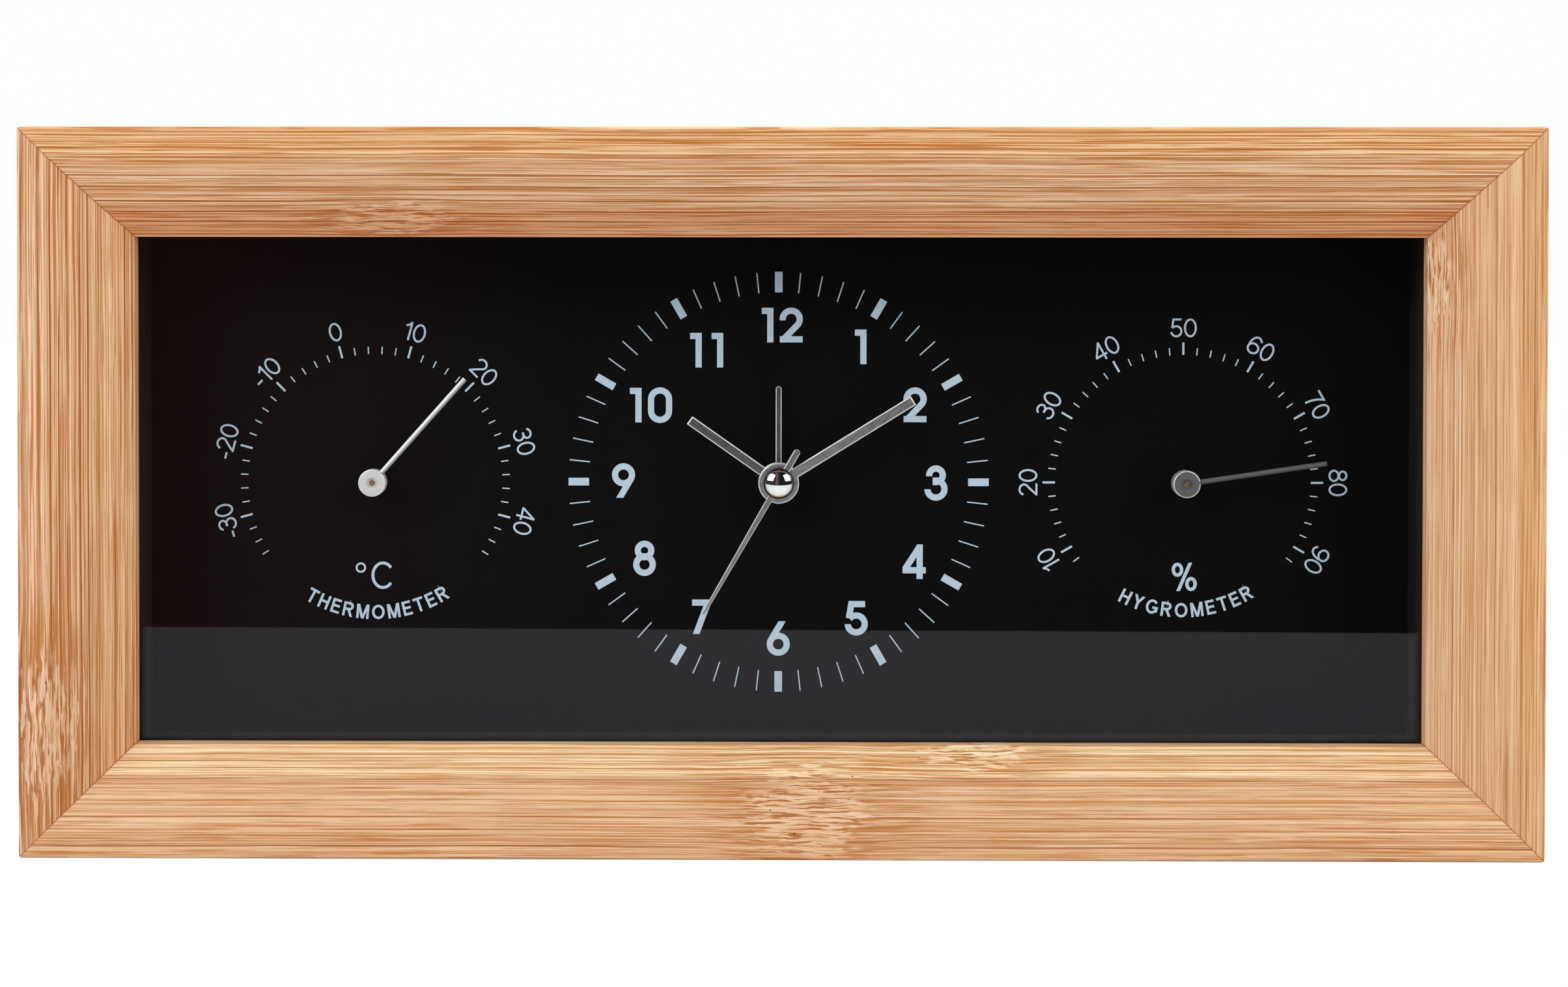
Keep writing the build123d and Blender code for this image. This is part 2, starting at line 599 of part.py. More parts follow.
def radial_bar(place, angle, inner, outer, width):
    """A bar that points away from a place, at an angle to the right of the top."""
    bar = Pos(0, (inner + outer) / 2) * Rectangle(width, outer - inner)
    return Pos(*place) * Rot(0, 0, -angle) * bar


def clock_marks():
    """Twelve batons, and a fine tick at every other minute."""
    bars = []
    for minute in range(MINUTE_MARKS):
        on_hour = minute % (MINUTE_MARKS // HOUR_MARKS) == 0
        width = BATON_WIDTH if on_hour else TICK_WIDTH
        angle = minute * 360 / MINUTE_MARKS
        bars.append(radial_bar(CLOCK, angle, MARK_INNER, MARK_OUTER, width))
    return plate(Sketch() + bars, DIAL - MARK_THICKNESS, DIAL)


def scale_marks(place, swing, first_long):
    """A gauge's ticks from one end of its scale to the other, with longer ones every few steps."""
    bars = []
    count = round(2 * swing / SCALE_STEP)
    offset = round((swing - first_long) / SCALE_STEP)
    for step in range(count + 1):
        is_long = (step - offset) % LONG_TICK_EVERY == 0
        length = LONG_TICK if is_long else SHORT_TICK
        width = LONG_TICK_WIDTH if is_long else TICK_WIDTH
        angle = step * SCALE_STEP - swing
        bars.append(radial_bar(place, angle, SCALE_INNER, SCALE_INNER + length, width))
    return plate(Sketch() + bars, DIAL - MARK_THICKNESS, DIAL)


def retainer(end):
    """A strip that holds the dial board forward, along the top or the bottom."""
    place = (0, MIDDLE_HEIGHT + end * (CAVITY_HEIGHT - RETAINER_WIDTH) / 2)
    return block(place, CAVITY_WIDTH, RETAINER_WIDTH, BOARD_BACK, PANEL_FRONT)


def back_panel():
    """The panel around the movement, with vent slots behind each gauge."""
    width = FRAME_WIDTH - 2 * (BACK_WALL + PANEL_PLAY)
    height = FRAME_HEIGHT - 2 * (BACK_WALL + PANEL_PLAY)
    outline = Pos(0, MIDDLE_HEIGHT) * Rectangle(width, height)
    outline -= case_front_view(PANEL_OPENING_PLAY)
    for place in (THERMOMETER, HYGROMETER):
        for column in VENT_PLACES:
            slot = Pos(place[0] + column * VENT_SPACING, place[1]) * Rot(0, 0, 90)
            outline -= slot * SlotOverall(VENT_LENGTH, VENT_WIDTH)
    for place in panel_screw_places():
        outline -= Pos(*place) * Circle(PANEL_SCREW_RADIUS + PANEL_HOLE_PLAY)
    return plate(outline, PANEL_FRONT, PANEL_BACK)


# Movement case
def case_outline():
    """The movement seen from the front."""
    place = beside_clock(0, (CASE_TOP + CASE_BOTTOM) / 2)
    return Pos(*place) * RectangleRounded(2 * CASE_HALF, CASE_TOP - CASE_BOTTOM, CASE_CORNER)


def case_front_view(play):
    """A rectangle around the movement seen from the front, larger by some play."""
    place = beside_clock(0, (CASE_TOP + CASE_BOTTOM) / 2)
    return Pos(*place) * Rectangle(2 * (CASE_HALF + play), CASE_TOP - CASE_BOTTOM + 2 * play)


def train_outline(play):
    """The space for the wheels, above the battery bay."""
    height = TRAIN_ABOVE - TRAIN_FLOOR
    place = beside_clock(0, TRAIN_FLOOR + height / 2)
    return Pos(*place) * Rectangle(2 * (INSIDE_HALF - play), height - 2 * play)


def movement_tape():
    """Foam tape between the movement and the dial board."""
    outline = case_front_view(-TAPE_INSET) - Pos(*CLOCK) * Circle(BUSHING_RADIUS + HOLE_PLAY)
    return plate(outline, BOARD_BACK, CASE_FRONT)


def tongues(play):
    """Tongues of the battery door that reach under the cover."""
    length = TONGUE_ROOT + TONGUE_REACH + 2 * play
    up = COVER_EDGE - DOOR_PLAY + (TONGUE_REACH - TONGUE_ROOT) / 2
    solids = Part()
    for side in (-1, 1):
        place = beside_clock(side * TONGUE_SPREAD, up)
        front = COVER_FRONT - TONGUE_THICKNESS - play
        solids += block(place, TONGUE_WIDTH + 2 * play, length, front, COVER_FRONT)
    return solids


def front_case():
    """The case with its posts, its bushing, the stud of the minute wheel and the battery bay."""
    bay = Pos(*beside_clock(0, BAY_MIDDLE)) * Rectangle(2 * INSIDE_HALF, BAY_HEIGHT)
    hollow = plate(train_outline(0) + bay, CASE_INNER, COVER_FRONT)
    case = plate(case_outline(), CASE_FRONT, COVER_FRONT) - hollow
    for place in CASE_SCREW_PLACES:
        case += disc(place, POST_RADIUS, CASE_INNER, MIDDLE_PLATE)
        case += disc(place, POST_MIDDLE_RADIUS, MIDDLE_PLATE, REAR_PLATE)
        case += disc(place, POST_TOP_RADIUS, REAR_PLATE, COVER_FRONT)
    case -= case_screws()
    seat_radius = BUSHING_BORE + BUSHING_SEAT_WIDTH
    case += disc(CLOCK, BUSHING_RADIUS, DIAL - BUSHING_HEIGHT, CASE_FRONT)
    case += disc(CLOCK, seat_radius, CASE_INNER, CASE_INNER + BUSHING_SEAT)
    case -= disc(CLOCK, BUSHING_BORE, DIAL - BUSHING_HEIGHT, CASE_INNER + BUSHING_SEAT)
    stud_tip = CASE_INNER + MINUTE_LAYER + MOTION_WHEEL + STUD_TIP
    case += disc(MINUTE_WHEEL_PLACE, STUD_RADIUS, CASE_INNER, stud_tip)
    for place in (SET_PLACE, ALARM_PLACE):
        case -= disc(place, KNOB_ARBOR + KNOB_FIT, CASE_INNER - PIVOT_SINK, CASE_INNER)
    return case - tongues(TONGUE_PLAY)


def case_screws():
    """Four screws that hold the cover to the posts."""
    screws = Part()
    for place in CASE_SCREW_PLACES:
        shank = disc(place, CASE_SCREW_RADIUS, COVER_BACK - CASE_SCREW_LENGTH, COVER_BACK)
        head = disc(place, CASE_SCREW_HEAD_RADIUS, COVER_BACK, COVER_BACK + CASE_SCREW_HEAD)
        screws += shank + head
    return screws


def switch_slot():
    """The slot in the cover that the alarm switch slides along."""
    width = SWITCH_WIDTH + SWITCH_TRAVEL + 2 * SWITCH_PLAY
    place = beside_clock(SWITCH_ACROSS + SWITCH_TRAVEL / 2, SWITCH_UP)
    return Pos(*place) * Rectangle(width, SWITCH_HEIGHT + 2 * SWITCH_PLAY)


def back_cover():
    """The cover above the battery bay."""
    above = CASE_TOP - COVER_EDGE
    part_above = Pos(*beside_clock(0, COVER_EDGE + above / 2)) * Rectangle(2 * CASE_HALF, above)
    outline = case_outline() & part_above
    for place in CASE_SCREW_PLACES:
        outline -= Pos(*place) * Circle(CASE_SCREW_RADIUS + PLATE_HOLE_PLAY)
    for place in (SET_PLACE, ALARM_PLACE):
        outline -= Pos(*place) * Circle(KNOB_ARBOR + KNOB_FIT)
    return plate(outline - switch_slot(), COVER_FRONT, COVER_BACK)


def wheel_plate(front, post_radius, pivots):
    """A plate across the wheel space, held on the posts."""
    outline = train_outline(PLATE_PLAY)
    for place in CASE_SCREW_PLACES:
        outline -= Pos(*place) * Circle(post_radius + PLATE_HOLE_PLAY)
    for place in (SET_PLACE, ALARM_PLACE):
        outline -= Pos(*place) * Circle(KNOB_ARBOR + KNOB_FIT)
    for place in pivots:
        outline -= Pos(*place) * Circle(PIVOT_RADIUS + PIVOT_FIT)
    return plate(outline, front, front + PLATE_THICKNESS)


def middle_plate():
    """The plate between the hands' wheels and the motor's train, with posts for the stator."""
    solid = wheel_plate(MIDDLE_PLATE, POST_MIDDLE_RADIUS, (THIRD_PLACE, INTERMEDIATE_PLACE, ROTOR_PLACE))
    solid -= disc(CLOCK, CANNON_RADIUS + TUBE_FIT, MIDDLE_PLATE, MIDDLE_PLATE_BACK)
    for arm in (LOWER_ARM, UPPER_ARM):
        place = (COIL_X + STATOR_POST_REACH, arm)
        solid += disc(place, STATOR_POST, MIDDLE_PLATE_BACK, STATOR)
    return solid


def rear_plate():
    """The plate behind the motor's train, open around the coil."""
    places = (CLOCK, THIRD_PLACE, INTERMEDIATE_PLACE, ROTOR_PLACE)
    window_width = 2 * (COIL_RADIUS + WINDOW_PLAY)
    window_height = STATOR_RISE + STATOR_ARM
    window = block((COIL_X, COIL_Z), window_width, window_height, REAR_PLATE, REAR_PLATE_BACK)
    return wheel_plate(REAR_PLATE, POST_TOP_RADIUS, places) - window


# Motor and electrics
def stator():
    """The iron plate around the rotor, with an arm to each end of the coil."""
    end = COIL_X + STATOR_END
    outline = Pos(*ROTOR_PLACE) * Circle(STATOR_PAD)
    reach = end - ROTOR_PLACE[0]
    for arm in (LOWER_ARM, UPPER_ARM):
        outline += Pos(ROTOR_PLACE[0] + reach / 2, arm) * Rectangle(reach, STATOR_ARM)
    rise = UPPER_ARM + STATOR_ARM / 2 - ROTOR_PLACE[1]
    outline += Pos(ROTOR_PLACE[0], ROTOR_PLACE[1] + rise / 2) * Rectangle(STATOR_ARM, rise)
    outline -= Pos(*ROTOR_PLACE) * Circle(MAGNET_RADIUS + MAGNET_GAP)
    return plate(outline, STATOR, STATOR_BACK)


def coil_core():
    """The iron bar through the coil, which lies on the stator's arms."""
    height = STATOR_RISE + STATOR_ARM
    return block((COIL_X, COIL_Z), CORE_WIDTH, height, STATOR_BACK, STATOR_BACK + CORE_THICKNESS)


def coil():
    """The winding around the core, between the stator's arms."""
    length = STATOR_RISE - STATOR_ARM - 2 * COIL_PLAY
    depth = STATOR_BACK + CORE_THICKNESS / 2 - FRAME_DEPTH / 2
    return Pos(COIL_X, depth, COIL_Z) * Cylinder(COIL_RADIUS, length) - coil_core()


def buzzer():
    """The sounder of the alarm, on the front wall of the case."""
    place = beside_clock(BUZZER_RADIUS + BUZZER_PLAY - INSIDE_HALF, BUZZER_UP)
    return disc(place, BUZZER_RADIUS, CASE_INNER, CASE_INNER + BUZZER_THICKNESS)


def circuit_board():
    """The board on the rear plate."""
    place = beside_clock(CIRCUIT_ACROSS, CIRCUIT_UP)
    back = REAR_PLATE_BACK + CIRCUIT_THICKNESS
    return block(place, CIRCUIT_WIDTH, CIRCUIT_HEIGHT, REAR_PLATE_BACK, back)


def quartz_crystal():
    """The crystal's can, which lies on the circuit board."""
    place = beside_clock(CRYSTAL_ACROSS, CRYSTAL_UP)
    depth = REAR_PLATE_BACK + CIRCUIT_THICKNESS + CRYSTAL_RADIUS - FRAME_DEPTH / 2
    return Pos(place[0], depth, place[1]) * Rot(0, 90, 0) * Cylinder(CRYSTAL_RADIUS, CRYSTAL_LENGTH)


# Battery
CELL_DEPTH = CASE_INNER + CELL_PLAY + CELL_RADIUS
PLUS_FACE = INSIDE_HALF - CONTACT_THICKNESS
CELL_END = PLUS_FACE - NUB_LENGTH - CELL_LENGTH


def level_rod(start, end, radius):
    """A rod along the battery bay."""
    place = beside_clock((start + end) / 2, BAY_MIDDLE)
    middle = Pos(place[0], CELL_DEPTH - FRAME_DEPTH / 2, place[1])
    return middle * Rot(0, 90, 0) * Cylinder(radius, end - start)


def battery_cell():
    """An AA cell with its nub at the plus contact."""
    body = level_rod(CELL_END, CELL_END + CELL_LENGTH, CELL_RADIUS)
    return body + level_rod(CELL_END + CELL_LENGTH, PLUS_FACE, NUB_RADIUS)


def plus_contact():
    """The flat contact at the cell's nub."""
    place = beside_clock(INSIDE_HALF - CONTACT_THICKNESS / 2, BAY_MIDDLE)
    front = CELL_DEPTH - CONTACT_DEPTH / 2
    return block(place, CONTACT_THICKNESS, CONTACT_HEIGHT, front, front + CONTACT_DEPTH)


def minus_contact():
    """The bowed leaf between the bay's end and the cell."""
    reach = CELL_END + INSIDE_HALF
    half = CONTACT_HEIGHT / 2
    slope = CONTACT_THICKNESS * math.hypot(reach, half) / reach
    bow = Polygon((0, -half), (reach, 0), (0, half))
    hollow = Polygon((0, slope - half), (reach - CONTACT_THICKNESS, 0), (0, half - slope))
    front = CELL_DEPTH - CONTACT_DEPTH / 2
    place = beside_clock(-INSIDE_HALF, BAY_MIDDLE)
    return plate(Pos(*place) * (bow - hollow), front, front + CONTACT_DEPTH)


def battery_door():
    """The door over the battery bay, with tongues under the cover and ridges for a thumb."""
    height = COVER_EDGE - DOOR_PLAY - CASE_BOTTOM
    middle = CASE_BOTTOM + height / 2
    below = Pos(*beside_clock(0, middle)) * Rectangle(2 * CASE_HALF, height)
    door = plate(case_outline() & below, COVER_FRONT, COVER_BACK)
    for row in GRIP_PLACES:
        place = beside_clock(0, middle + row * GRIP_SPACING)
        door += block(place, GRIP_WIDTH, GRIP_HEIGHT, COVER_BACK, COVER_BACK + GRIP_THICKNESS)
    return door + tongues(0)


# Wheels
def train_arbor(place, radius, front):
    """An arbor from a depth to the rear plate, with a pivot in the plate."""
    solid = disc(place, radius, front, REAR_PLATE - END_PLAY)
    return solid + disc(place, PIVOT_RADIUS, REAR_PLATE - END_PLAY, REAR_PLATE_BACK - END_PLAY)


def pivoted_arbor(place):
    """A short arbor between the middle plate and the rear plate."""
    solid = train_arbor(place, TRAIN_ARBOR, MIDDLE_PLATE_BACK + END_PLAY)
    return solid + disc(place, PIVOT_RADIUS, MIDDLE_PLATE + END_PLAY, MIDDLE_PLATE_BACK + END_PLAY)


THIRD_MODULE = pair_module(THIRD_DISTANCE, TRAIN_PINION_TEETH, THIRD_TEETH)
CENTRE_MODULE = pair_module(THIRD_DISTANCE, TRAIN_PINION_TEETH, CENTRE_TEETH)
SECOND_MODULE = pair_module(INTERMEDIATE_DISTANCE, TRAIN_PINION_TEETH, SECOND_TEETH)
INTERMEDIATE_MODULE = pair_module(ROTOR_DISTANCE, TRAIN_PINION_TEETH, INTERMEDIATE_TEETH)
HOUR_MODULE = pair_module(MOTION_DISTANCE, MINUTE_PINION_TEETH, HOUR_TEETH)


def train_wheel(place, teeth, module, tooth_direction, layer):
    """A thin wheel of the motor's train."""
    front = CASE_INNER + layer
    return gear(place, teeth, module, tooth_direction, front, front + TRAIN_WHEEL)


def train_pinion(place, module, tooth_direction, mate_layer, layer):
    """A pinion that reaches from just before its mate to its own wheel."""
    front = CASE_INNER + mate_layer - PINION_OVERHANG
    return gear(place, TRAIN_PINION_TEETH, module, tooth_direction, front, CASE_INNER + layer)


def rotor():
    """The motor's magnet with its pinion."""
    middle = STATOR + STATOR_THICKNESS / 2
    solid = pivoted_arbor(ROTOR_PLACE)
    solid += disc(ROTOR_PLACE, MAGNET_RADIUS, middle - MAGNET_LENGTH / 2, middle + MAGNET_LENGTH / 2)
    back_layer = INTERMEDIATE_LAYER + TRAIN_WHEEL + PINION_OVERHANG
    facing_mate = ROTOR_DIRECTION_DEGREES + 180
    pinion = train_pinion(ROTOR_PLACE, INTERMEDIATE_MODULE, facing_mate, INTERMEDIATE_LAYER, back_layer)
    return solid + pinion


def intermediate_wheel():
    """The wheel between the rotor and the second wheel."""
    place = INTERMEDIATE_PLACE
    start = gap_at(INTERMEDIATE_TEETH, ROTOR_DIRECTION_DEGREES)
    wheel = train_wheel(place, INTERMEDIATE_TEETH, INTERMEDIATE_MODULE, start, INTERMEDIATE_LAYER)
    facing_mate = INTERMEDIATE_DIRECTION_DEGREES + 180
    pinion = train_pinion(place, SECOND_MODULE, facing_mate, SECOND_LAYER, INTERMEDIATE_LAYER)
    return pivoted_arbor(place) + wheel + pinion


def second_wheel():
    """The wheel and pinion on the arbor that carries the second hand and the cap."""
    start = gap_at(SECOND_TEETH, INTERMEDIATE_DIRECTION_DEGREES)
    wheel = train_wheel(CLOCK, SECOND_TEETH, SECOND_MODULE, start, SECOND_LAYER)
    pinion = train_pinion(CLOCK, THIRD_MODULE, THIRD_DIRECTION_DEGREES, THIRD_LAYER, SECOND_LAYER)
    tip = DIAL - SECOND_HAND_HEIGHT - HAND_THICKNESS - CAP_BORE
    return train_arbor(CLOCK, SECOND_ARBOR, tip) + wheel + pinion


def third_wheel():
    """The wheel between the second wheel and the centre wheel."""
    start = gap_at(THIRD_TEETH, THIRD_DIRECTION_DEGREES + 180)
    wheel = train_wheel(THIRD_PLACE, THIRD_TEETH, THIRD_MODULE, start, THIRD_LAYER)
    facing_mate = THIRD_DIRECTION_DEGREES + 180
    pinion = train_pinion(THIRD_PLACE, CENTRE_MODULE, facing_mate, CENTRE_LAYER, THIRD_LAYER)
    return pivoted_arbor(THIRD_PLACE) + wheel + pinion


def centre_wheel():
    """The wheel that slips on the cannon tube when the hands are set."""
    start = gap_at(CENTRE_TEETH, THIRD_DIRECTION_DEGREES)
    wheel = train_wheel(CLOCK, CENTRE_TEETH, CENTRE_MODULE, start, CENTRE_LAYER)
    front = CASE_INNER + CENTRE_LAYER
    return wheel - disc(CLOCK, CANNON_RADIUS + PIVOT_FIT, front, front + TRAIN_WHEEL)


def cannon_tube():
    """The tube of the minute hand, with the pinion that drives the minute wheel."""
    front = DIAL - MINUTE_HAND_HEIGHT - HAND_THICKNESS - TUBE_END
    flange_front = CASE_INNER + CENTRE_LAYER + TRAIN_WHEEL + END_PLAY
    back = flange_front + CANNON_FLANGE_HEIGHT
    pinion_front = CASE_INNER + HOUR_LAYER + MOTION_WHEEL + END_PLAY
    pinion_back = MIDDLE_PLATE - END_PLAY
    solid = disc(CLOCK, CANNON_RADIUS, front, back)
    start = MINUTE_WHEEL_DIRECTION_DEGREES
    solid += gear(CLOCK, CANNON_TEETH, MOTION_MODULE, start, pinion_front, pinion_back)
    solid += disc(CLOCK, CANNON_RADIUS + CANNON_FLANGE, flange_front, back)
    return solid - disc(CLOCK, CANNON_BORE, front, back)


def minute_wheel():
    """The wheel on the stud, with the pinion that drives the hour wheel."""
    facing_clock = MINUTE_WHEEL_DIRECTION_DEGREES + 180
    wheel_front = CASE_INNER + MINUTE_LAYER
    wheel_back = wheel_front + MOTION_WHEEL
    start = gap_at(MINUTE_TEETH, facing_clock)
    solid = gear(MINUTE_WHEEL_PLACE, MINUTE_TEETH, MOTION_MODULE, start, wheel_front, wheel_back)
    front = CASE_INNER + HOUR_LAYER - PINION_OVERHANG
    solid += gear(MINUTE_WHEEL_PLACE, MINUTE_PINION_TEETH, HOUR_MODULE, facing_clock, front, wheel_front)
    return solid - disc(MINUTE_WHEEL_PLACE, STUD_RADIUS + PIVOT_FIT, front, wheel_back)


def hour_wheel():
    """The wheel and tube of the hour hand."""
    front = DIAL - HOUR_HAND_HEIGHT - HAND_THICKNESS - TUBE_END
    wheel_front = CASE_INNER + HOUR_LAYER
    wheel_back = wheel_front + MOTION_WHEEL
    start = gap_at(HOUR_TEETH, MINUTE_WHEEL_DIRECTION_DEGREES)
    solid = disc(CLOCK, HOUR_TUBE_RADIUS, front, wheel_back)
    solid += gear(CLOCK, HOUR_TEETH, HOUR_MODULE, start, wheel_front, wheel_back)
    hub_front = CASE_INNER + ALARM_LAYER + MOTION_WHEEL + END_PLAY
    solid += disc(CLOCK, ALARM_TUBE_RADIUS, hub_front, wheel_front)
    return solid - disc(CLOCK, HOUR_TUBE_BORE, front, wheel_back)


def alarm_wheel():
    """The wheel and tube of the alarm hand."""
    front = DIAL - ALARM_HAND_HEIGHT - HAND_THICKNESS - TUBE_END
    wheel_front = CASE_INNER + ALARM_LAYER
    wheel_back = wheel_front + MOTION_WHEEL
    start = gap_at(ALARM_TEETH, ALARM_KNOB_DIRECTION_DEGREES)
    solid = disc(CLOCK, ALARM_TUBE_RADIUS, front, wheel_back)
    solid += gear(CLOCK, ALARM_TEETH, MOTION_MODULE, start, wheel_front, wheel_back)
    return solid - disc(CLOCK, ALARM_TUBE_BORE, front, wheel_back)


def knob(place, radius, pinion, pinion_front):
    """A ridged knob behind the cover, on an arbor that carries a pinion inside the case."""
    front = COVER_BACK + KNOB_GAP
    outline = toothed(
        KNOB_RIDGES, radius, radius - KNOB_RIDGE_DEPTH, KNOB_RIDGE_TIP_SHARE, KNOB_RIDGE_ROOT_SHARE, 0
    )
    solid = plate(Pos(*place) * outline, front, front + KNOB_HEIGHT)
    solid += disc(place, KNOB_ARBOR, CASE_INNER - PIVOT_SINK + END_PLAY, front)
    return solid + pinion


def time_set_knob():
    """The knob that turns the minute wheel."""
    front = CASE_INNER + MINUTE_LAYER
    facing_mate = SET_DIRECTION_DEGREES + 180
    start = gap_at(SET_TEETH, facing_mate)
    pinion = gear(SET_PLACE, SET_TEETH, MOTION_MODULE, start, front, front + MOTION_WHEEL)
    return knob(SET_PLACE, TIME_KNOB_RADIUS, pinion, front)


def alarm_set_knob():
    """The knob that turns the alarm wheel."""
    front = CASE_INNER + ALARM_LAYER
    facing_mate = ALARM_KNOB_DIRECTION_DEGREES + 180
    pinion = gear(ALARM_PLACE, ALARM_PINION_TEETH, MOTION_MODULE, facing_mate, front, front + MOTION_WHEEL)
    return knob(ALARM_PLACE, ALARM_KNOB_RADIUS, pinion, front)


def alarm_switch():
    """The slider that arms the alarm."""
    place = beside_clock(SWITCH_ACROSS, SWITCH_UP)
    base_back = COVER_FRONT - SWITCH_PLAY
    base = block(place, SWITCH_BASE_WIDTH, SWITCH_BASE_HEIGHT, base_back - SWITCH_BASE_THICKNESS, base_back)
    return base + block(place, SWITCH_WIDTH, SWITCH_HEIGHT, base_back, COVER_BACK + SWITCH_REACH)


# Hands
def hand(outline, angle, bore, height):
    """A flat hand, turned to the right of the top by an angle, with the bore of its tube."""
    turned_outline = Pos(*CLOCK) * Rot(0, 0, -angle) * (outline - Circle(bore))
    back = DIAL - height
    return plate(turned_outline, back - HAND_THICKNESS, back)


def bar_hand(length, width):
    """The outline of a hand with straight sides and a round hub."""
    return Circle(HUB_RADIUS) + Pos(0, length / 2) * Rectangle(width, length)


def alarm_hand():
    """The short narrow hand with a rounded tip."""
    straight = ALARM_HAND_LENGTH - ALARM_HAND_WIDTH / 2
    outline = bar_hand(straight, ALARM_HAND_WIDTH) + Pos(0, straight) * Circle(ALARM_HAND_WIDTH / 2)
    return hand(outline, ALARM_HAND_ANGLE, ALARM_TUBE_RADIUS, ALARM_HAND_HEIGHT)


def hour_hand():
    """The short broad hand."""
    outline = bar_hand(HOUR_HAND_LENGTH, HOUR_HAND_WIDTH)
    return hand(outline, HOUR_HAND_ANGLE, HOUR_TUBE_RADIUS, HOUR_HAND_HEIGHT)


def minute_hand():
    """The long broad hand."""
    outline = bar_hand(MINUTE_HAND_LENGTH, MINUTE_HAND_WIDTH)
    return hand(outline, MINUTE_HAND_ANGLE, CANNON_RADIUS, MINUTE_HAND_HEIGHT)


def second_hand():
    """The long tapered hand with a round tail and a collar on its arbor."""
    half = SECOND_HAND_WIDTH / 2
    tip = SECOND_TIP_WIDTH / 2
    blade = Polygon((-half, 0), (half, 0), (tip, SECOND_HAND_LENGTH), (-tip, SECOND_HAND_LENGTH))
    straight = SECOND_TAIL_LENGTH - SECOND_TAIL_WIDTH / 2
    tail = Pos(0, -straight / 2) * Rectangle(SECOND_TAIL_WIDTH, straight)
    tail += Pos(0, -straight) * Circle(SECOND_TAIL_WIDTH / 2)
    outline = Circle(SECOND_HUB_RADIUS) + blade + tail
    solid = hand(outline, SECOND_HAND_ANGLE, SECOND_ARBOR, SECOND_HAND_HEIGHT)
    back = DIAL - MINUTE_HAND_HEIGHT - HAND_THICKNESS - TUBE_END - END_PLAY
    return solid + ring(CLOCK, SECOND_COLLAR_RADIUS, SECOND_ARBOR, DIAL - SECOND_HAND_HEIGHT, back)


def centre_cap():
    """The domed cap on the second hand."""
    base = DIAL - SECOND_HAND_HEIGHT - HAND_THICKNESS
    rim = base - CAP_RIM
    top = rim - CAP_DOME
    dome_radius = (CAP_RADIUS**2 + CAP_DOME**2) / (2 * CAP_DOME)
    half_turn = math.asin(CAP_RADIUS / dome_radius) / 2
    middle = (dome_radius * math.sin(half_turn), top + dome_radius * (1 - math.cos(half_turn)))
    section = make_face(
        [
            Polyline((0, top), (0, base), (CAP_RADIUS, base), (CAP_RADIUS, rim)),
            ThreePointArc((CAP_RADIUS, rim), middle, (0, top)),
        ]
    )
    return turned(CLOCK, section) - disc(CLOCK, SECOND_ARBOR, base - CAP_BORE, base)


# Gauges
def gauge_cup(place):
    """The cup behind the dial board, with the bearing that passes through the dial."""
    flange_back = BOARD_BACK + CUP_FLANGE
    cup_back = BOARD_BACK + CUP_DEPTH
    solid = disc(place, CUP_FLANGE_RADIUS, BOARD_BACK, flange_back)
    solid += ring(place, CUP_RADIUS, CUP_RADIUS - CUP_WALL, flange_back, cup_back)
    solid += disc(place, BEARING_RADIUS, DIAL - BEARING_HEIGHT, BOARD_BACK)
    solid -= disc(place, GAUGE_ARBOR + GAUGE_FIT, DIAL - BEARING_HEIGHT, flange_back)
    strip_end = strip_side(STRIP_HALF_TURNS) + STRIP_THICKNESS / 2
    post_place = (place[0] + strip_end + STRIP_POST_GAP + STRIP_POST_SIZE / 2, place[1])
    post_back = flange_back + STRIP_FRONT + STRIP_WIDTH
    return solid + block(post_place, STRIP_POST_SIZE, STRIP_POST_SIZE, flange_back, post_back)


def strip_side(half_turn):
    """How far from the arbor the spiral's middle line is after some half turns."""
    first = GAUGE_ARBOR + STRIP_GAP + STRIP_THICKNESS / 2
    return first + half_turn * STRIP_PITCH / 2


def gauge_strip(place):
    """The spiral strip that turns the pointer, as half circles of growing radius."""
    edges = []
    for shift in (-STRIP_THICKNESS / 2, STRIP_THICKNESS / 2):
        for half_turn in range(STRIP_HALF_TURNS):
            side = 1 if half_turn % 2 == 0 else -1
            start = side * (strip_side(half_turn) + shift)
            end = -side * (strip_side(half_turn + 1) + shift)
            middle = ((start + end) / 2, side * abs(start - end) / 2)
            edges.append(ThreePointArc((start, 0), middle, (end, 0)))
    for half_turn in (0, STRIP_HALF_TURNS):
        side = strip_side(half_turn)
        edges.append(Line((side - STRIP_THICKNESS / 2, 0), (side + STRIP_THICKNESS / 2, 0)))
    front = BOARD_BACK + CUP_FLANGE + STRIP_FRONT
    return plate(Pos(*place) * make_face(edges), front, front + STRIP_WIDTH)


def gauge_arbor(place):
    """The brass arbor from the pointer's collar to the middle of the spiral."""
    flange_back = BOARD_BACK + CUP_FLANGE
    dimple_floor = DIAL - COLLAR_HEIGHT - COLLAR_LENGTH + DIMPLE_DEPTH
    shoulder_front = flange_back + END_PLAY
    solid = disc(place, GAUGE_ARBOR, dimple_floor - ARBOR_TIP, flange_back + ARBOR_REACH)
    return solid + disc(place, SHOULDER_RADIUS, shoulder_front, shoulder_front + SHOULDER)


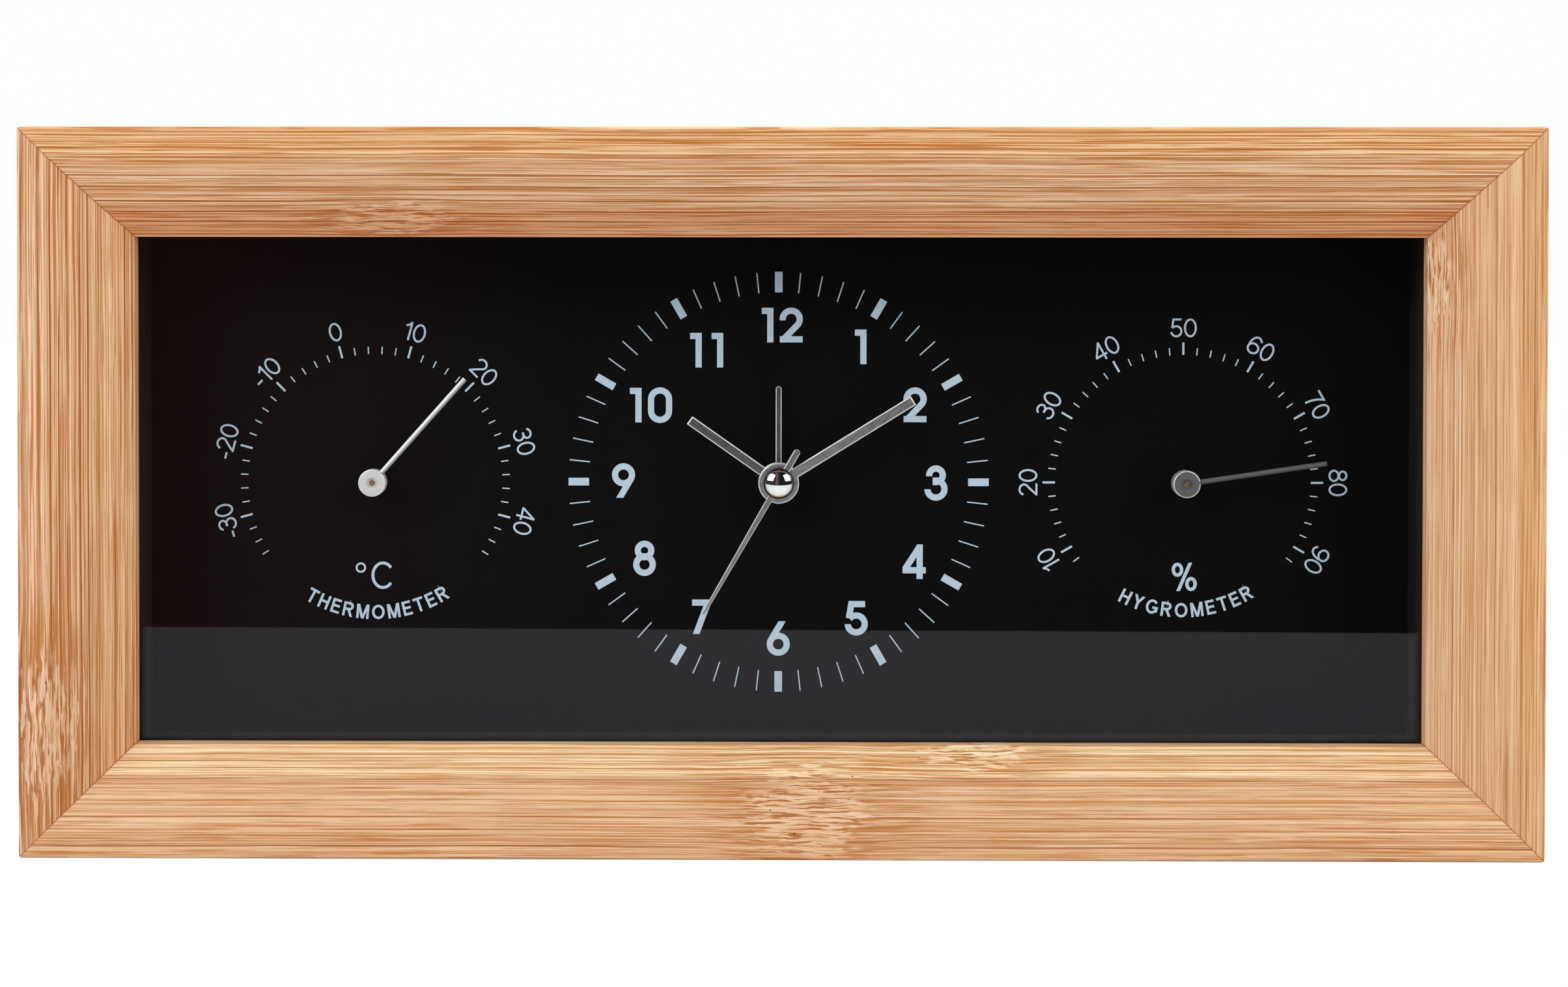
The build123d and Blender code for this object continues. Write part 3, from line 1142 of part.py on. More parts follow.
def gauge_pointer(place, angle, length):
    """A thin pointer in a round collar with a dimple in front."""
    collar_back = DIAL - COLLAR_HEIGHT
    collar_front = collar_back - COLLAR_LENGTH
    back = DIAL - POINTER_HEIGHT
    solid = plate(radial_bar(place, angle, 0, length, POINTER_WIDTH), back - POINTER_THICKNESS, back)
    solid += disc(place, COLLAR_RADIUS, collar_front, collar_back)
    solid -= disc(place, DIMPLE_RADIUS, collar_front, collar_front + DIMPLE_DEPTH)
    return solid - disc(place, GAUGE_ARBOR, collar_front, collar_back)


# Every piece under its own name
fastened = corner_nails() + panel_screws()
pieces = {
    "top_rail": rail(FRAME_WIDTH, FRAME_HEIGHT / 2, 0) - fastened,
    "right_rail": rail(FRAME_HEIGHT, FRAME_WIDTH / 2, 90) - fastened,
    "bottom_rail": rail(FRAME_WIDTH, FRAME_HEIGHT / 2, 180) - fastened,
    "left_rail": rail(FRAME_HEIGHT, FRAME_WIDTH / 2, 270) - fastened,
    "corner_nails": corner_nails(),
    "front_glass": front_glass(),
    "spacer_top": level_spacer(1),
    "spacer_bottom": level_spacer(-1),
    "spacer_left": upright_spacer(-1),
    "spacer_right": upright_spacer(1),
    "dial_sheet": plate(dial_outline(), DIAL, SHEET_BACK),
    "dial_board": plate(dial_outline(), SHEET_BACK, BOARD_BACK),
    "clock_marks": clock_marks(),
    "thermometer_marks": scale_marks(THERMOMETER, THERMOMETER_SWING_DEGREES, THERMOMETER_FIRST_LONG_DEGREES),
    "hygrometer_marks": scale_marks(HYGROMETER, HYGROMETER_SWING_DEGREES, HYGROMETER_FIRST_LONG_DEGREES),
    "upper_retainer": retainer(1),
    "lower_retainer": retainer(-1),
    "back_panel": back_panel(),
    "back_panel_screws": panel_screws(),
    "movement_tape": movement_tape(),
    "movement_case": front_case(),
    "movement_cover": back_cover(),
    "movement_screws": case_screws(),
    "middle_plate": middle_plate(),
    "rear_plate": rear_plate(),
    "stator": stator(),
    "coil_core": coil_core(),
    "coil": coil(),
    "buzzer": buzzer(),
    "circuit_board": circuit_board(),
    "quartz_crystal": quartz_crystal(),
    "battery_cell": battery_cell(),
    "battery_contact_plus": plus_contact(),
    "battery_contact_minus": minus_contact(),
    "battery_door": battery_door(),
    "alarm_switch": alarm_switch(),
    "time_set_knob": time_set_knob(),
    "alarm_set_knob": alarm_set_knob(),
    "rotor": rotor(),
    "intermediate_wheel": intermediate_wheel(),
    "third_wheel": third_wheel(),
    "centre_wheel": centre_wheel(),
    "minute_wheel": minute_wheel(),
    "second_wheel": second_wheel(),
    "cannon_tube": cannon_tube(),
    "hour_wheel": hour_wheel(),
    "alarm_wheel": alarm_wheel(),
    "alarm_hand": alarm_hand(),
    "hour_hand": hour_hand(),
    "minute_hand": minute_hand(),
    "second_hand": second_hand(),
    "centre_cap": centre_cap(),
    "thermometer_cup": gauge_cup(THERMOMETER),
    "thermometer_strip": gauge_strip(THERMOMETER),
    "thermometer_arbor": gauge_arbor(THERMOMETER),
    "thermometer_pointer": gauge_pointer(THERMOMETER, THERMOMETER_ANGLE, THERMOMETER_POINTER_LENGTH),
    "hygrometer_cup": gauge_cup(HYGROMETER),
    "hygrometer_strip": gauge_strip(HYGROMETER),
    "hygrometer_arbor": gauge_arbor(HYGROMETER),
    "hygrometer_pointer": gauge_pointer(HYGROMETER, HYGROMETER_ANGLE, HYGROMETER_POINTER_LENGTH),
}

os.makedirs("parts", exist_ok=True)
for name, piece in pieces.items():
    piece.label = name
    export_step(piece, f"parts/{name}.step")
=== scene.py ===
import json
import math
from collections import namedtuple
from types import SimpleNamespace

import bmesh
import bpy
from mathutils import Euler, Matrix, Vector
from mathutils.geometry import delaunay_2d_cdt

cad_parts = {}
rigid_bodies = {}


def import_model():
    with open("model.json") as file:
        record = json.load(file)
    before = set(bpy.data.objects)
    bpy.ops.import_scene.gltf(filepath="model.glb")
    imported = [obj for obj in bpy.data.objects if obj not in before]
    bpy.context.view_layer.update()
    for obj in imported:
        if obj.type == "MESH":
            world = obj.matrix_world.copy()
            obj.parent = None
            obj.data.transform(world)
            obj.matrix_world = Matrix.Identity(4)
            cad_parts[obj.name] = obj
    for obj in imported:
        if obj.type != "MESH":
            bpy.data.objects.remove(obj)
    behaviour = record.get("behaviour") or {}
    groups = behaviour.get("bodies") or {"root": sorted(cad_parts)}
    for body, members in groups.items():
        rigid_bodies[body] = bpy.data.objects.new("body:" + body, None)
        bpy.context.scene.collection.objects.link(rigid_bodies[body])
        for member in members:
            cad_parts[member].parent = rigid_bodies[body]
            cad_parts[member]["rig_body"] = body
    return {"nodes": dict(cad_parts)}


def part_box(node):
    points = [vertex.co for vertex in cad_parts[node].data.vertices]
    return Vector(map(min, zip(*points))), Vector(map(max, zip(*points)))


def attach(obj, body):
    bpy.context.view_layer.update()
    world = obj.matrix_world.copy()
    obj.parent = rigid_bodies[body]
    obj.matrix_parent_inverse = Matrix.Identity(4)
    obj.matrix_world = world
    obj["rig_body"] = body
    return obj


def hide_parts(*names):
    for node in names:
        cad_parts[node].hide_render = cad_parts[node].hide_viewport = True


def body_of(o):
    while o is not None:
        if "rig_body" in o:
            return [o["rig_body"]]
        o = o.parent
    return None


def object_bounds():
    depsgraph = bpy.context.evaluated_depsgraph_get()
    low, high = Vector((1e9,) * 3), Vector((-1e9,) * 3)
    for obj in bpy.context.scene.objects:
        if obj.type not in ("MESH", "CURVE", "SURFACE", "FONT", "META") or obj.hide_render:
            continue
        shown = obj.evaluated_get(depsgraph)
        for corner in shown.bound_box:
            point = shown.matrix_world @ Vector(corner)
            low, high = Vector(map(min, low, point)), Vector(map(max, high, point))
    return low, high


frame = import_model()
cad_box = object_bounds()

# One millimetre, and the object's own places, read from the frame
MM = 0.001
LOW, HIGH = cad_box
DIAL_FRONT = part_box("dial_sheet")[0].y
MARK_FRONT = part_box("clock_marks")[0].y


def middle(node):
    """The middle of a node's box at rest."""
    low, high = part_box(node)
    return (low + high) / 2


CLOCK = middle("centre_cap")
THERMOMETER = middle("thermometer_arbor")
HYGROMETER = middle("hygrometer_arbor")

# The photograph: its width in pixels, and the camera that took it, with its turns in radians,
# its sensor and focal length in millimetres and its shifts in pixels
PHOTO_WIDTH = 2408
CAMERA_PLACE = Vector((-5.89, -560.9, 93.0)) * MM
CAMERA_DOWN = 0.02
CAMERA_RIGHT = -0.0124
CAMERA_ROLL = 0.001
CAMERA_REACH = 20
SENSOR = 36
FOCAL_LENGTH = 75.4
SHIFT_RIGHT = 123.7
SHIFT_DOWN = 208.1


def add_object(name, data):
    made = bpy.data.objects.new(name, data)
    bpy.context.scene.collection.objects.link(made)
    return made


def make_camera():
    data = bpy.data.cameras.new("camera")
    data.sensor_width = SENSOR
    data.lens = FOCAL_LENGTH
    data.shift_x = SHIFT_RIGHT / PHOTO_WIDTH
    data.shift_y = -SHIFT_DOWN / PHOTO_WIDTH
    data.clip_end = CAMERA_REACH
    camera = add_object("camera", data)
    turn = Euler((math.pi / 2 - CAMERA_DOWN, 0, -CAMERA_RIGHT)).to_matrix()
    roll = Matrix.Rotation(CAMERA_ROLL, 3, "Z")
    camera.matrix_world = Matrix.Translation(CAMERA_PLACE) @ (turn @ roll).to_4x4()
    bpy.context.scene.camera = camera


def blend(first, second, share):
    """A colour part of the way from the first to the second."""
    return tuple(a + (b - a) * share for a, b in zip(first, second))


def darker(colour, share):
    """That share of a colour."""
    return tuple(part * share for part in colour)


class Shader:
    """A node tree with short calls, which make nodes and give back the last one's output."""

    def __init__(self, name, owner=None, output="ShaderNodeOutputMaterial"):
        self.owner = owner or bpy.data.materials.new(name)
        self.owner.use_nodes = True
        self.tree = self.owner.node_tree
        self.tree.nodes.clear()
        self.output = self.tree.nodes.new(output)

    def node(self, kind, inputs=(), **settings):
        made = self.tree.nodes.new("ShaderNode" + kind)
        for key, value in settings.items():
            setattr(made, key, value)
        for key, value in dict(inputs).items():
            if isinstance(value, bpy.types.NodeSocket):
                self.tree.links.new(value, made.inputs[key])
            else:
                made.inputs[key].default_value = value
        return made

    def math(self, operation, *values, clamp=False):
        made = self.node("Math", dict(enumerate(values)), operation=operation, use_clamp=clamp)
        return made.outputs[0]

    def add(self, first, *others):
        for other in others:
            first = self.math("ADD", first, other)
        return first

    def subtract(self, first, second):
        return self.math("SUBTRACT", first, second)

    def multiply(self, first, *others):
        for other in others:
            first = self.math("MULTIPLY", first, other)
        return first

    def divide(self, first, second):
        return self.math("DIVIDE", first, second)

    def length(self, first, second):
        """How long the longest side of a right triangle is."""
        return self.math("SQRT", self.add(self.multiply(first, first), self.multiply(second, second)))

    def point(self):
        """The point on the object in millimetres."""
        point = self.node("TexCoord").outputs["Object"]
        return self.node("VectorMath", {0: point, "Scale": 1 / MM}, operation="SCALE").outputs[0]

    def place(self):
        """The point on the object in millimetres, as a vector and as its three parts."""
        point = self.point()
        return point, *self.node("SeparateXYZ", {0: point}).outputs

    def turn(self, x, z, degrees):
        """How far along and across a direction, turned clockwise from the top, (x, z) lies."""
        sine, cosine = math.sin(math.radians(degrees)), math.cos(math.radians(degrees))
        along = self.add(self.multiply(x, sine), self.multiply(z, cosine))
        return along, self.subtract(self.multiply(x, cosine), self.multiply(z, sine))

    def vector(self, x, y, z):
        return self.node("CombineXYZ", {0: x, 1: y, 2: z}).outputs[0]

    def stretch(self, vector, x, y, z):
        return self.node("VectorMath", {0: vector, 1: (x, y, z)}, operation="MULTIPLY").outputs[0]

    def noise(self, vector, scale=1.0, detail=2.0, roughness=0.5, distortion=0.0):
        sockets = {"Vector": vector, "Scale": scale, "Detail": detail}
        sockets.update({"Roughness": roughness, "Distortion": distortion})
        return self.node("TexNoise", sockets).outputs[0]

    def grey(self, value):
        return self.node("CombineColor", {0: value, 1: value, 2: value}).outputs[0]

    def ramp(self, value, *stops):
        """A colour for each place along value: stops are (place, colour) pairs."""
        made = self.node("ValToRGB", {0: value})
        row = made.color_ramp.elements
        while len(row) < len(stops):
            row.new(0.5)
        for element, (place, colour) in zip(row, stops):
            element.position = place
            element.color = (*colour, 1)
        return made.outputs[0]

    def tones(self, noise, dark, light):
        """One colour where a noise is dark, another where it is light."""
        return self.ramp(noise, (0.3, dark), (0.7, light))

    def step(self, value, start, end, low=0.0, high=1.0):
        """low before start, high after end, with a smooth change between."""
        sockets = {"Value": value, "From Min": start, "From Max": end, "To Min": low, "To Max": high}
        return self.node("MapRange", sockets, interpolation_type="SMOOTHSTEP").outputs[0]

    def fade(self, value, start, end):
        """1 before start, 0 after end, with a smooth change between."""
        return self.step(value, start, end, 1.0, 0.0)

    def spread(self, noise, low, high):
        """low where a noise is dark, high where it is light: for roughness and tone."""
        return self.step(noise, 0.3, 0.7, low, high)

    def mix(self, share, first, second, mode="MIX"):
        made = self.node("Mix", {0: share}, data_type="RGBA", blend_type=mode)
        for place, value in ((6, first), (7, second)):
            if isinstance(value, bpy.types.NodeSocket):
                self.tree.links.new(value, made.inputs[place])
            else:
                made.inputs[place].default_value = (*value, 1)
        return made.outputs[2]

    def mix_value(self, share, first, second):
        """A number part of the way from the first to the second."""
        return self.node("Mix", {0: share, 2: first, 3: second}).outputs[0]

    def bump(self, height, distance, strength=1.0):
        sockets = {"Height": height, "Distance": distance * MM, "Strength": strength}
        return self.node("Bump", sockets).outputs[0]

    def show(self, shader):
        self.tree.links.new(shader, self.output.inputs["Surface"])

    def surface(self, colour, roughness, bump=None, shine=0.5, **plain):
        """The Principled shader, with its plain numbers set on its own sockets."""
        sockets = {"Base Color": colour, "Roughness": roughness, "Specular IOR Level": shine}
        if bump is not None:
            sockets["Normal"] = bump
        for key, value in plain.items():
            sockets["IOR" if key == "ior" else key.replace("_", " ").title()] = value
        made = self.node("BsdfPrincipled", sockets).outputs[0]
        self.show(made)
        return made

    def rays(self, *names):
        """1 for rays of any of these kinds."""
        source = self.node("LightPath").outputs
        found = source[names[0]]
        for name in names[1:]:
            found = self.math("MAXIMUM", found, source[name])
        return found


# Bamboo: strips glued side by side, with fibres along each rail
BAMBOO_PALE = (0.93, 0.665, 0.41)
BAMBOO_BASE = (0.85, 0.535, 0.29)
BAMBOO_WARM = (0.53, 0.18, 0.03)
BAMBOO_DARK = (0.37, 0.095, 0.014)
BAMBOO_PIT = (0.06, 0.03, 0.015)

# Each rail: its long axis, the axis across it and which end of that axis it lies at,
# the tints that paint the shade and sheen on its outer, middle and inner strip as its band and
# bevel face the lamps, the length and the strength of its strokes, and its knuckles as
# (place along, place across, half length, half width) in millimetres
Rail = namedtuple("Rail", "along across side tints stroke_length strength knuckles")
RAILS = {
    "top_rail": Rail(
        0, 2, 1, ((0.93, 0.925, 0.89), (1.04, 1.095, 1.23), (0.98, 0.84, 0.82)),
        40, 1.2, ((-64, 15, 10, 2.6),),
    ),
    "bottom_rail": Rail(
        0, 2, -1, ((0.91, 0.92, 0.96), (0.845, 0.86, 0.91), (1.01, 1.18, 1.32)),
        26, 0.8, ((4.6, 7.9, 10, 6.7), (32.8, 16.6, 8.5, 2.6)),
    ),
    "left_rail": Rail(
        2, 0, -1, ((0.90, 0.945, 1.09), (0.94, 0.935, 0.975), (1.02, 1.02, 1.06)),
        34, 1.1, ((21, 4.5, 12, 4.5),),
    ),
    "right_rail": Rail(
        2, 0, 1, ((0.84, 0.78, 0.71), (0.93, 0.95, 0.99), (0.97, 1.02, 1.15)),
        34, 0.65, ((94.6, 17, 7, 3),),
    ),
}

# The strips of a rail: where the outer one's painted shade and sheen passes into the middle one's,
# where the inner one begins, how deep a layer of them is, how far the grain shifts with depth,
# and how far apart the noise of rails, strips and layers is read
OUTER_SHADE_EDGE = (4.2, 5.6)
INNER_SEAM = 13.1
LAYER_DEPTH = 17.0
HALF_DEPTH = 25.0
DEPTH_SHIFT = 0.93
RAIL_APART = 37.0
STRIP_APART = 23.3
LAYER_APART = 11.9

# How the grain wanders: the scale and the reach of the noise of its slow waves, of the ripple
# in a knuckle and of a knuckle's torn edge, and how strongly it swerves round a knuckle
WAVE_SCALE, WAVE_REACH = 0.016, 1.2
RIPPLE_SCALE, RIPPLE_REACH = (0.26, 0.4, 1.0), 0.9
TORN_SCALE, TORN_REACH = (0.2, 1.7, 0.6), 3.4
SWERVE = -0.4

# Where a knuckle, the flames about it and the swerve fade, by the distance squared: 1 is its edge
KNUCKLE_FADE, FLAME_FADE, SWERVE_FADE = (0.6, 1.1), (0.8, 6.0), (0.2, 4.0)

# Broad soft bands: the scale of their noise along and across the grain, and their colours.
# The speckle: the noise at which it starts and is whole, and its share at both
BAND_SCALE = (0.012, 0.55, 1.0)
BANDS = (
    (0.36, blend(BAMBOO_BASE, BAMBOO_WARM, 0.20)), (0.5, BAMBOO_BASE),
    (0.64, blend(BAMBOO_BASE, BAMBOO_PALE, 0.5)),
)
SPECKLE = (0.5, 0.72, 0.0, 0.16)
FLAME_COLOUR = blend(BAMBOO_WARM, BAMBOO_DARK, 0.2)
SPINDLE_COLOUR = blend(BAMBOO_WARM, BAMBOO_DARK, 0.5)

# Strokes along the grain: length and width in millimetres, seed, the noise at which they
# start and at which they are whole, and their share in the colour.
# The lengths of the short and the long ones are shares of the rail's own stroke length
Strokes = namedtuple("Strokes", "length width seed start whole share")
SHORT_AND_LONG = (Strokes(0.5, 0.24, 9.0, 0.56, 0.615, 0.6), Strokes(1.0, 0.32, 2.0, 0.545, 0.60, 0.8))
FLAMES = Strokes(14.0, 0.42, 21.0, 0.50, 0.57, 0.8)
PATCHES = Strokes(5.0, 1.0, 5.0, 0.46, 0.58, 0.5)
SPINDLES = Strokes(6.0, 0.46, 13.0, 0.51, 0.57, 0.9)

# Fibres in the order in which they are laid: how many to a millimetre, half width, length
# over which they fade, seed, share in the colour, and colour
Fibres = namedtuple("Fibres", "density half_width fade_length seed share colour")
FIBRES = {
    "pale": Fibres(1.0, 0.20, 22.0, 7.7, 0.85, BAMBOO_PALE),
    "warm": Fibres(0.7, 0.27, 30.0, 19.3, 0.70, BAMBOO_WARM),
    "fine": Fibres(1.7, 0.13, 18.0, 3.1, 0.85, BAMBOO_WARM),
    "dark": Fibres(0.46, 0.21, 44.0, 31.9, 0.95, BAMBOO_DARK),
}

# How much weaker strokes and fibres are in a knuckle. Its pits: their scale along and across the
# grain, where their edge fades, above what chance a place has one, and their share in the colour.
# The mitre's line: its width in millimetres and its share
KNUCKLE_WEAKER = 0.7
PIT_SCALE = (0.22, 0.45)
PIT_EDGE = (0.06, 0.03)
PIT_CHANCE = 0.72
PIT_SHARE = 0.85
MITRE_LINE = 0.09
MITRE_SHARE = 0.6


def strokes(s, along, across, look):
    """Tapered strokes along the grain."""
    space = s.vector(s.divide(along, look.length), s.divide(across, look.width), look.seed)
    return s.step(s.noise(space, 1.0, 2.0, 0.55), look.start, look.whole)


def fibres(s, along, across, look):
    """How strong a fibre is here: lines along the rail, each with its own strength."""
    lines = s.add(s.multiply(across, look.density), look.seed)
    cells = s.node("TexVoronoi", {"W": lines, "Scale": 1.0}, voronoi_dimensions="1D").outputs
    chance, other = s.node("SeparateColor", {0: cells["Color"]}).outputs[:2]
    reach = look.half_width * look.density
    line = s.step(cells["Distance"], reach, reach * 0.3)
    track = s.vector(s.divide(along, look.fade_length), s.multiply(other, 60.0), look.seed)
    fade = s.step(s.noise(track, 1.0, 2.0, 0.6), 0.34, 0.50)
    return s.multiply(line, s.step(chance, -0.2, 0.8), fade)


def waver(s, space, detail, reach):
    """A soft noise to both sides of zero, as wide as reach."""
    return s.multiply(s.subtract(s.noise(space, 1.0, detail), 0.5), reach)


def read_grain(s, name):
    """The fields that a rail's look is made from.

    along, across: from the middle and in from the outer edge. strip: 1 on the inner strip.
    near, outside, around: 1 in a knuckle, out of one and about one.
    knot, thread: across the bent fibres, through all strips and within one."""
    rail = RAILS[name]
    point, *parts = s.place()
    along, across, depth = parts[rail.along], parts[rail.across], parts[1]
    if rail.side > 0:
        across = s.subtract(HIGH[rail.across] / MM, across)
    else:
        across = s.subtract(across, LOW[rail.across] / MM)
    offset = RAIL_APART * (list(RAILS).index(name) + 1)
    shifted = s.add(along, offset)
    space = s.vector(shifted, across, depth)

    torn = waver(s, s.stretch(space, *TORN_SCALE), 2.0, TORN_REACH)
    near = around = swerve = 0.0
    for place, middle_across, half_length, half_width in rail.knuckles:
        u = s.divide(s.subtract(along, place), half_length)
        v = s.divide(s.subtract(across, middle_across), half_width)
        away = s.add(s.multiply(u, u), s.multiply(v, v))
        near = s.math("ADD", near, s.fade(s.add(away, torn), *KNUCKLE_FADE), clamp=True)
        around = s.math("ADD", around, s.fade(away, *FLAME_FADE), clamp=True)
        swerve = s.add(swerve, s.multiply(s.fade(away, *SWERVE_FADE), v, SWERVE))

    wave = waver(s, s.vector(s.multiply(shifted, WAVE_SCALE), offset, 0), 1.0, WAVE_REACH)
    ripple = s.multiply(waver(s, s.stretch(space, *RIPPLE_SCALE), 1.0, RIPPLE_REACH), near)
    bent = s.add(across, wave, swerve, ripple)
    strip = s.math("GREATER_THAN", across, INNER_SEAM)
    layer = s.math("FLOOR", s.divide(s.add(depth, HALF_DEPTH), LAYER_DEPTH))
    apart = s.add(s.multiply(strip, STRIP_APART), s.multiply(layer, LAYER_APART), offset)
    knot = s.add(bent, s.multiply(depth, DEPTH_SHIFT))
    return SimpleNamespace(
        rail=rail, point=point, along=along, across=across, shifted=shifted, strip=strip,
        near=near, outside=s.subtract(1.0, near), around=around, knot=knot, thread=s.add(knot, apart),
    )


def strip_colour(s, grain, bands, speckle):
    """The colour of the strips, and how strong their dark fibres are."""
    rail, shifted, thread = grain.rail, grain.shifted, grain.thread
    colour = s.ramp(bands, *BANDS)
    plain = s.subtract(rail.strength, s.multiply(grain.near, KNUCKLE_WEAKER * rail.strength))
    for look in SHORT_AND_LONG:
        laid = strokes(s, shifted, thread, look._replace(length=rail.stroke_length * look.length))
        colour = s.mix(s.multiply(laid, look.share, plain), colour, BAMBOO_WARM)
    laid = {}
    for name, look in FIBRES.items():
        laid[name] = fibres(s, shifted, thread, look)
        whole = 1.0 if name == "pale" else plain
        colour = s.mix(s.multiply(laid[name], look.share, whole), colour, look.colour)
    flames = s.multiply(strokes(s, shifted, thread, FLAMES), grain.around, grain.outside, FLAMES.share)
    colour = s.mix(flames, colour, FLAME_COLOUR)
    colour = s.mix(s.step(speckle, *SPECKLE), colour, BAMBOO_WARM)
    return colour, laid["dark"]


def knuckle_colour(s, grain, colour):
    """Pale patches with short broken strokes and a few pits, and how strong the strokes are."""
    shifted, knot, near = grain.shifted, grain.knot, grain.near
    patch = strokes(s, shifted, knot, PATCHES)
    colour = s.mix(s.multiply(patch, PATCHES.share, near), colour, BAMBOO_PALE)
    spindle = s.multiply(strokes(s, shifted, knot, SPINDLES), near)
    colour = s.mix(s.multiply(spindle, SPINDLES.share), colour, SPINDLE_COLOUR)
    space = s.vector(s.multiply(shifted, PIT_SCALE[0]), s.multiply(knot, PIT_SCALE[1]), 0.0)
    cells = s.node("TexVoronoi", {"Vector": space, "Scale": 1.0}, voronoi_dimensions="2D").outputs
    chance = s.node("SeparateColor", {0: cells["Color"]}).outputs[0]
    pit = s.multiply(s.step(cells["Distance"], *PIT_EDGE), s.math("GREATER_THAN", chance, PIT_CHANCE))
    return s.mix(s.multiply(pit, near, PIT_SHARE), colour, BAMBOO_PIT), spindle


def bamboo(name):
    """Bamboo with its grain along the rail, painted shade and sheen tinted by strip, and a fine dark line at
    each mitre.
    """
    s = Shader("bamboo_" + name)
    grain = read_grain(s, name)
    bands = s.noise(s.stretch(s.vector(grain.shifted, grain.thread, 0.0), *BAND_SCALE), 1.0, 2.0, 0.6)
    speckle = s.noise(grain.point, 5.0, 2.0, 0.7)
    colour, dark = strip_colour(s, grain, bands, speckle)
    colour, spindle = knuckle_colour(s, grain, colour)
    # Painted shade and sheen: each strip is tinted lighter or darker by how it faces the lamps
    outer_shade_tint, middle_shade_tint, inner_shade_tint = grain.rail.tints
    tint = s.mix(s.step(grain.across, *OUTER_SHADE_EDGE), outer_shade_tint, middle_shade_tint)
    colour = s.mix(1.0, colour, s.mix(grain.strip, tint, inner_shade_tint), "MULTIPLY")

    start = s.subtract(grain.along, LOW[grain.rail.along] / MM)
    end = s.subtract(HIGH[grain.rail.along] / MM, grain.along)
    from_mitre = s.math("ABSOLUTE", s.subtract(s.math("MINIMUM", start, end), grain.across))
    line = s.step(from_mitre, MITRE_LINE, MITRE_LINE * 2.2, MITRE_SHARE, 0.0)
    colour = s.mix(line, colour, BAMBOO_DARK)

    relief = s.subtract(s.multiply(speckle, 0.15), s.math("MAXIMUM", dark, spindle))
    s.surface(colour, s.spread(bands, 0.50, 0.42), s.bump(relief, 0.010, 0.5), shine=0.15)
    return s.owner


# How much of a plain pane's reflection this coated glass gives back
GLASS_SHINE = (0.30, 0.28, 0.32, 1)


def clear_glass():
    """Glass that reflects and bends what is seen through it, and lets the light in."""
    s = Shader("clear_glass")
    tint = (0.975, 0.985, 0.98, 1)
    glass = s.surface(tint, 0.0, transmission_weight=1.0, ior=1.5, specular_tint=GLASS_SHINE)
    clear = s.node("BsdfTransparent", {"Color": (0.96, 0.97, 0.965, 1)}).outputs[0]
    passing = s.rays("Is Shadow Ray", "Is Diffuse Ray")
    s.show(s.node("MixShader", {0: passing, 1: glass, 2: clear}).outputs[0])
    return s.owner


def dial_black():
    """Black print on card, with a faint mottle and a few specks of dust."""
    s = Shader("dial_black")
    point, x, _, z = s.place()
    mottle = s.noise(point, 0.35, 3.0)
    colour = s.tones(mottle, (0.0008, 0.0008, 0.0009), (0.0016, 0.0016, 0.0017))
    specks = s.node("TexVoronoi", {"Vector": s.vector(x, 0.0, z), "Scale": 0.22}).outputs
    chosen = s.step(s.node("SeparateColor", {0: specks["Color"]}).outputs[0], 0.70, 0.72)
    size = s.step(specks["Distance"], 0.022, 0.010)
    colour = s.mix(s.multiply(size, chosen), colour, (0.10, 0.10, 0.10))
    s.surface(colour, s.spread(mottle, 0.62, 0.72), s.bump(mottle, 0.01), shine=0.08)
    return s.owner


def mottled(name, dark, light, low, high, relief, scale, detail=3.0, roughness=0.5, **plain):
    """A finish whose colour, roughness and relief follow one soft noise, scaled along x, y and z."""
    s = Shader(name)
    noise = s.noise(s.stretch(s.point(), *scale), 1.0, detail, roughness)
    s.surface(s.tones(noise, dark, light), s.spread(noise, low, high), s.bump(noise, relief), **plain)
    return s.owner


def brushed(name, tint, low, high, degrees):
    """Brushed metal: fine scratches along a direction in the dial's plane, turned up from the right."""
    s = Shader(name)
    _, x, y, z = s.place()
    along, across = s.turn(z, x, degrees)
    lines = s.noise(s.vector(s.multiply(along, 0.7), s.multiply(across, 9.0), y), 1.0, 3.0, 0.65)
    colour = s.ramp(lines, (0.32, darker(tint, 0.7)), (0.68, tint))
    s.surface(colour, s.spread(lines, low, high), s.bump(lines, 0.008), metallic=1.0)
    return s.owner


def metal(name, tint, low, high, scale=2.0):
    """Plain metal with soft stains and a slightly uneven polish."""
    return mottled(name, darker(tint, 0.82), tint, low, high, 0.01, (scale,) * 3, 4.0, 0.6, metallic=1.0)


def plastic(name, dark, light, roughness, scale, relief):
    """Moulded plastic with a fine spark-eroded texture."""
    s = Shader(name)
    point = s.point()
    texture = s.noise(point, scale, 2.0, 0.6)
    wear = s.noise(point, 0.12, 3.0)
    colour = s.tones(wear, dark, light)
    rough = s.spread(wear, roughness - 0.06, roughness + 0.06)
    s.surface(colour, rough, s.bump(texture, relief), shine=0.5)
    return s.owner


def hardboard():
    """Pressed fibre board: a brown mat of short fibres under a smooth skin."""
    s = Shader("hardboard")
    point = s.point()
    mat = s.noise(point, 0.9, 5.0, 0.7, 0.8)
    threads = s.noise(s.stretch(point, 3.2, 3.2, 1.1), 1.0, 3.0, 0.6, 1.5)
    colour = s.ramp(
        mat, (0.30, (0.155, 0.080, 0.038)), (0.52, (0.235, 0.130, 0.066)), (0.72, (0.33, 0.20, 0.11)),
    )
    colour = s.mix(s.step(threads, 0.60, 0.74, 0.0, 0.45), colour, (0.40, 0.26, 0.155))
    colour = s.mix(s.step(threads, 0.40, 0.28, 0.0, 0.5), colour, (0.085, 0.042, 0.020))
    s.surface(colour, s.spread(mat, 0.5, 0.66), s.bump(threads, 0.05, 0.6), shine=0.35)
    return s.owner


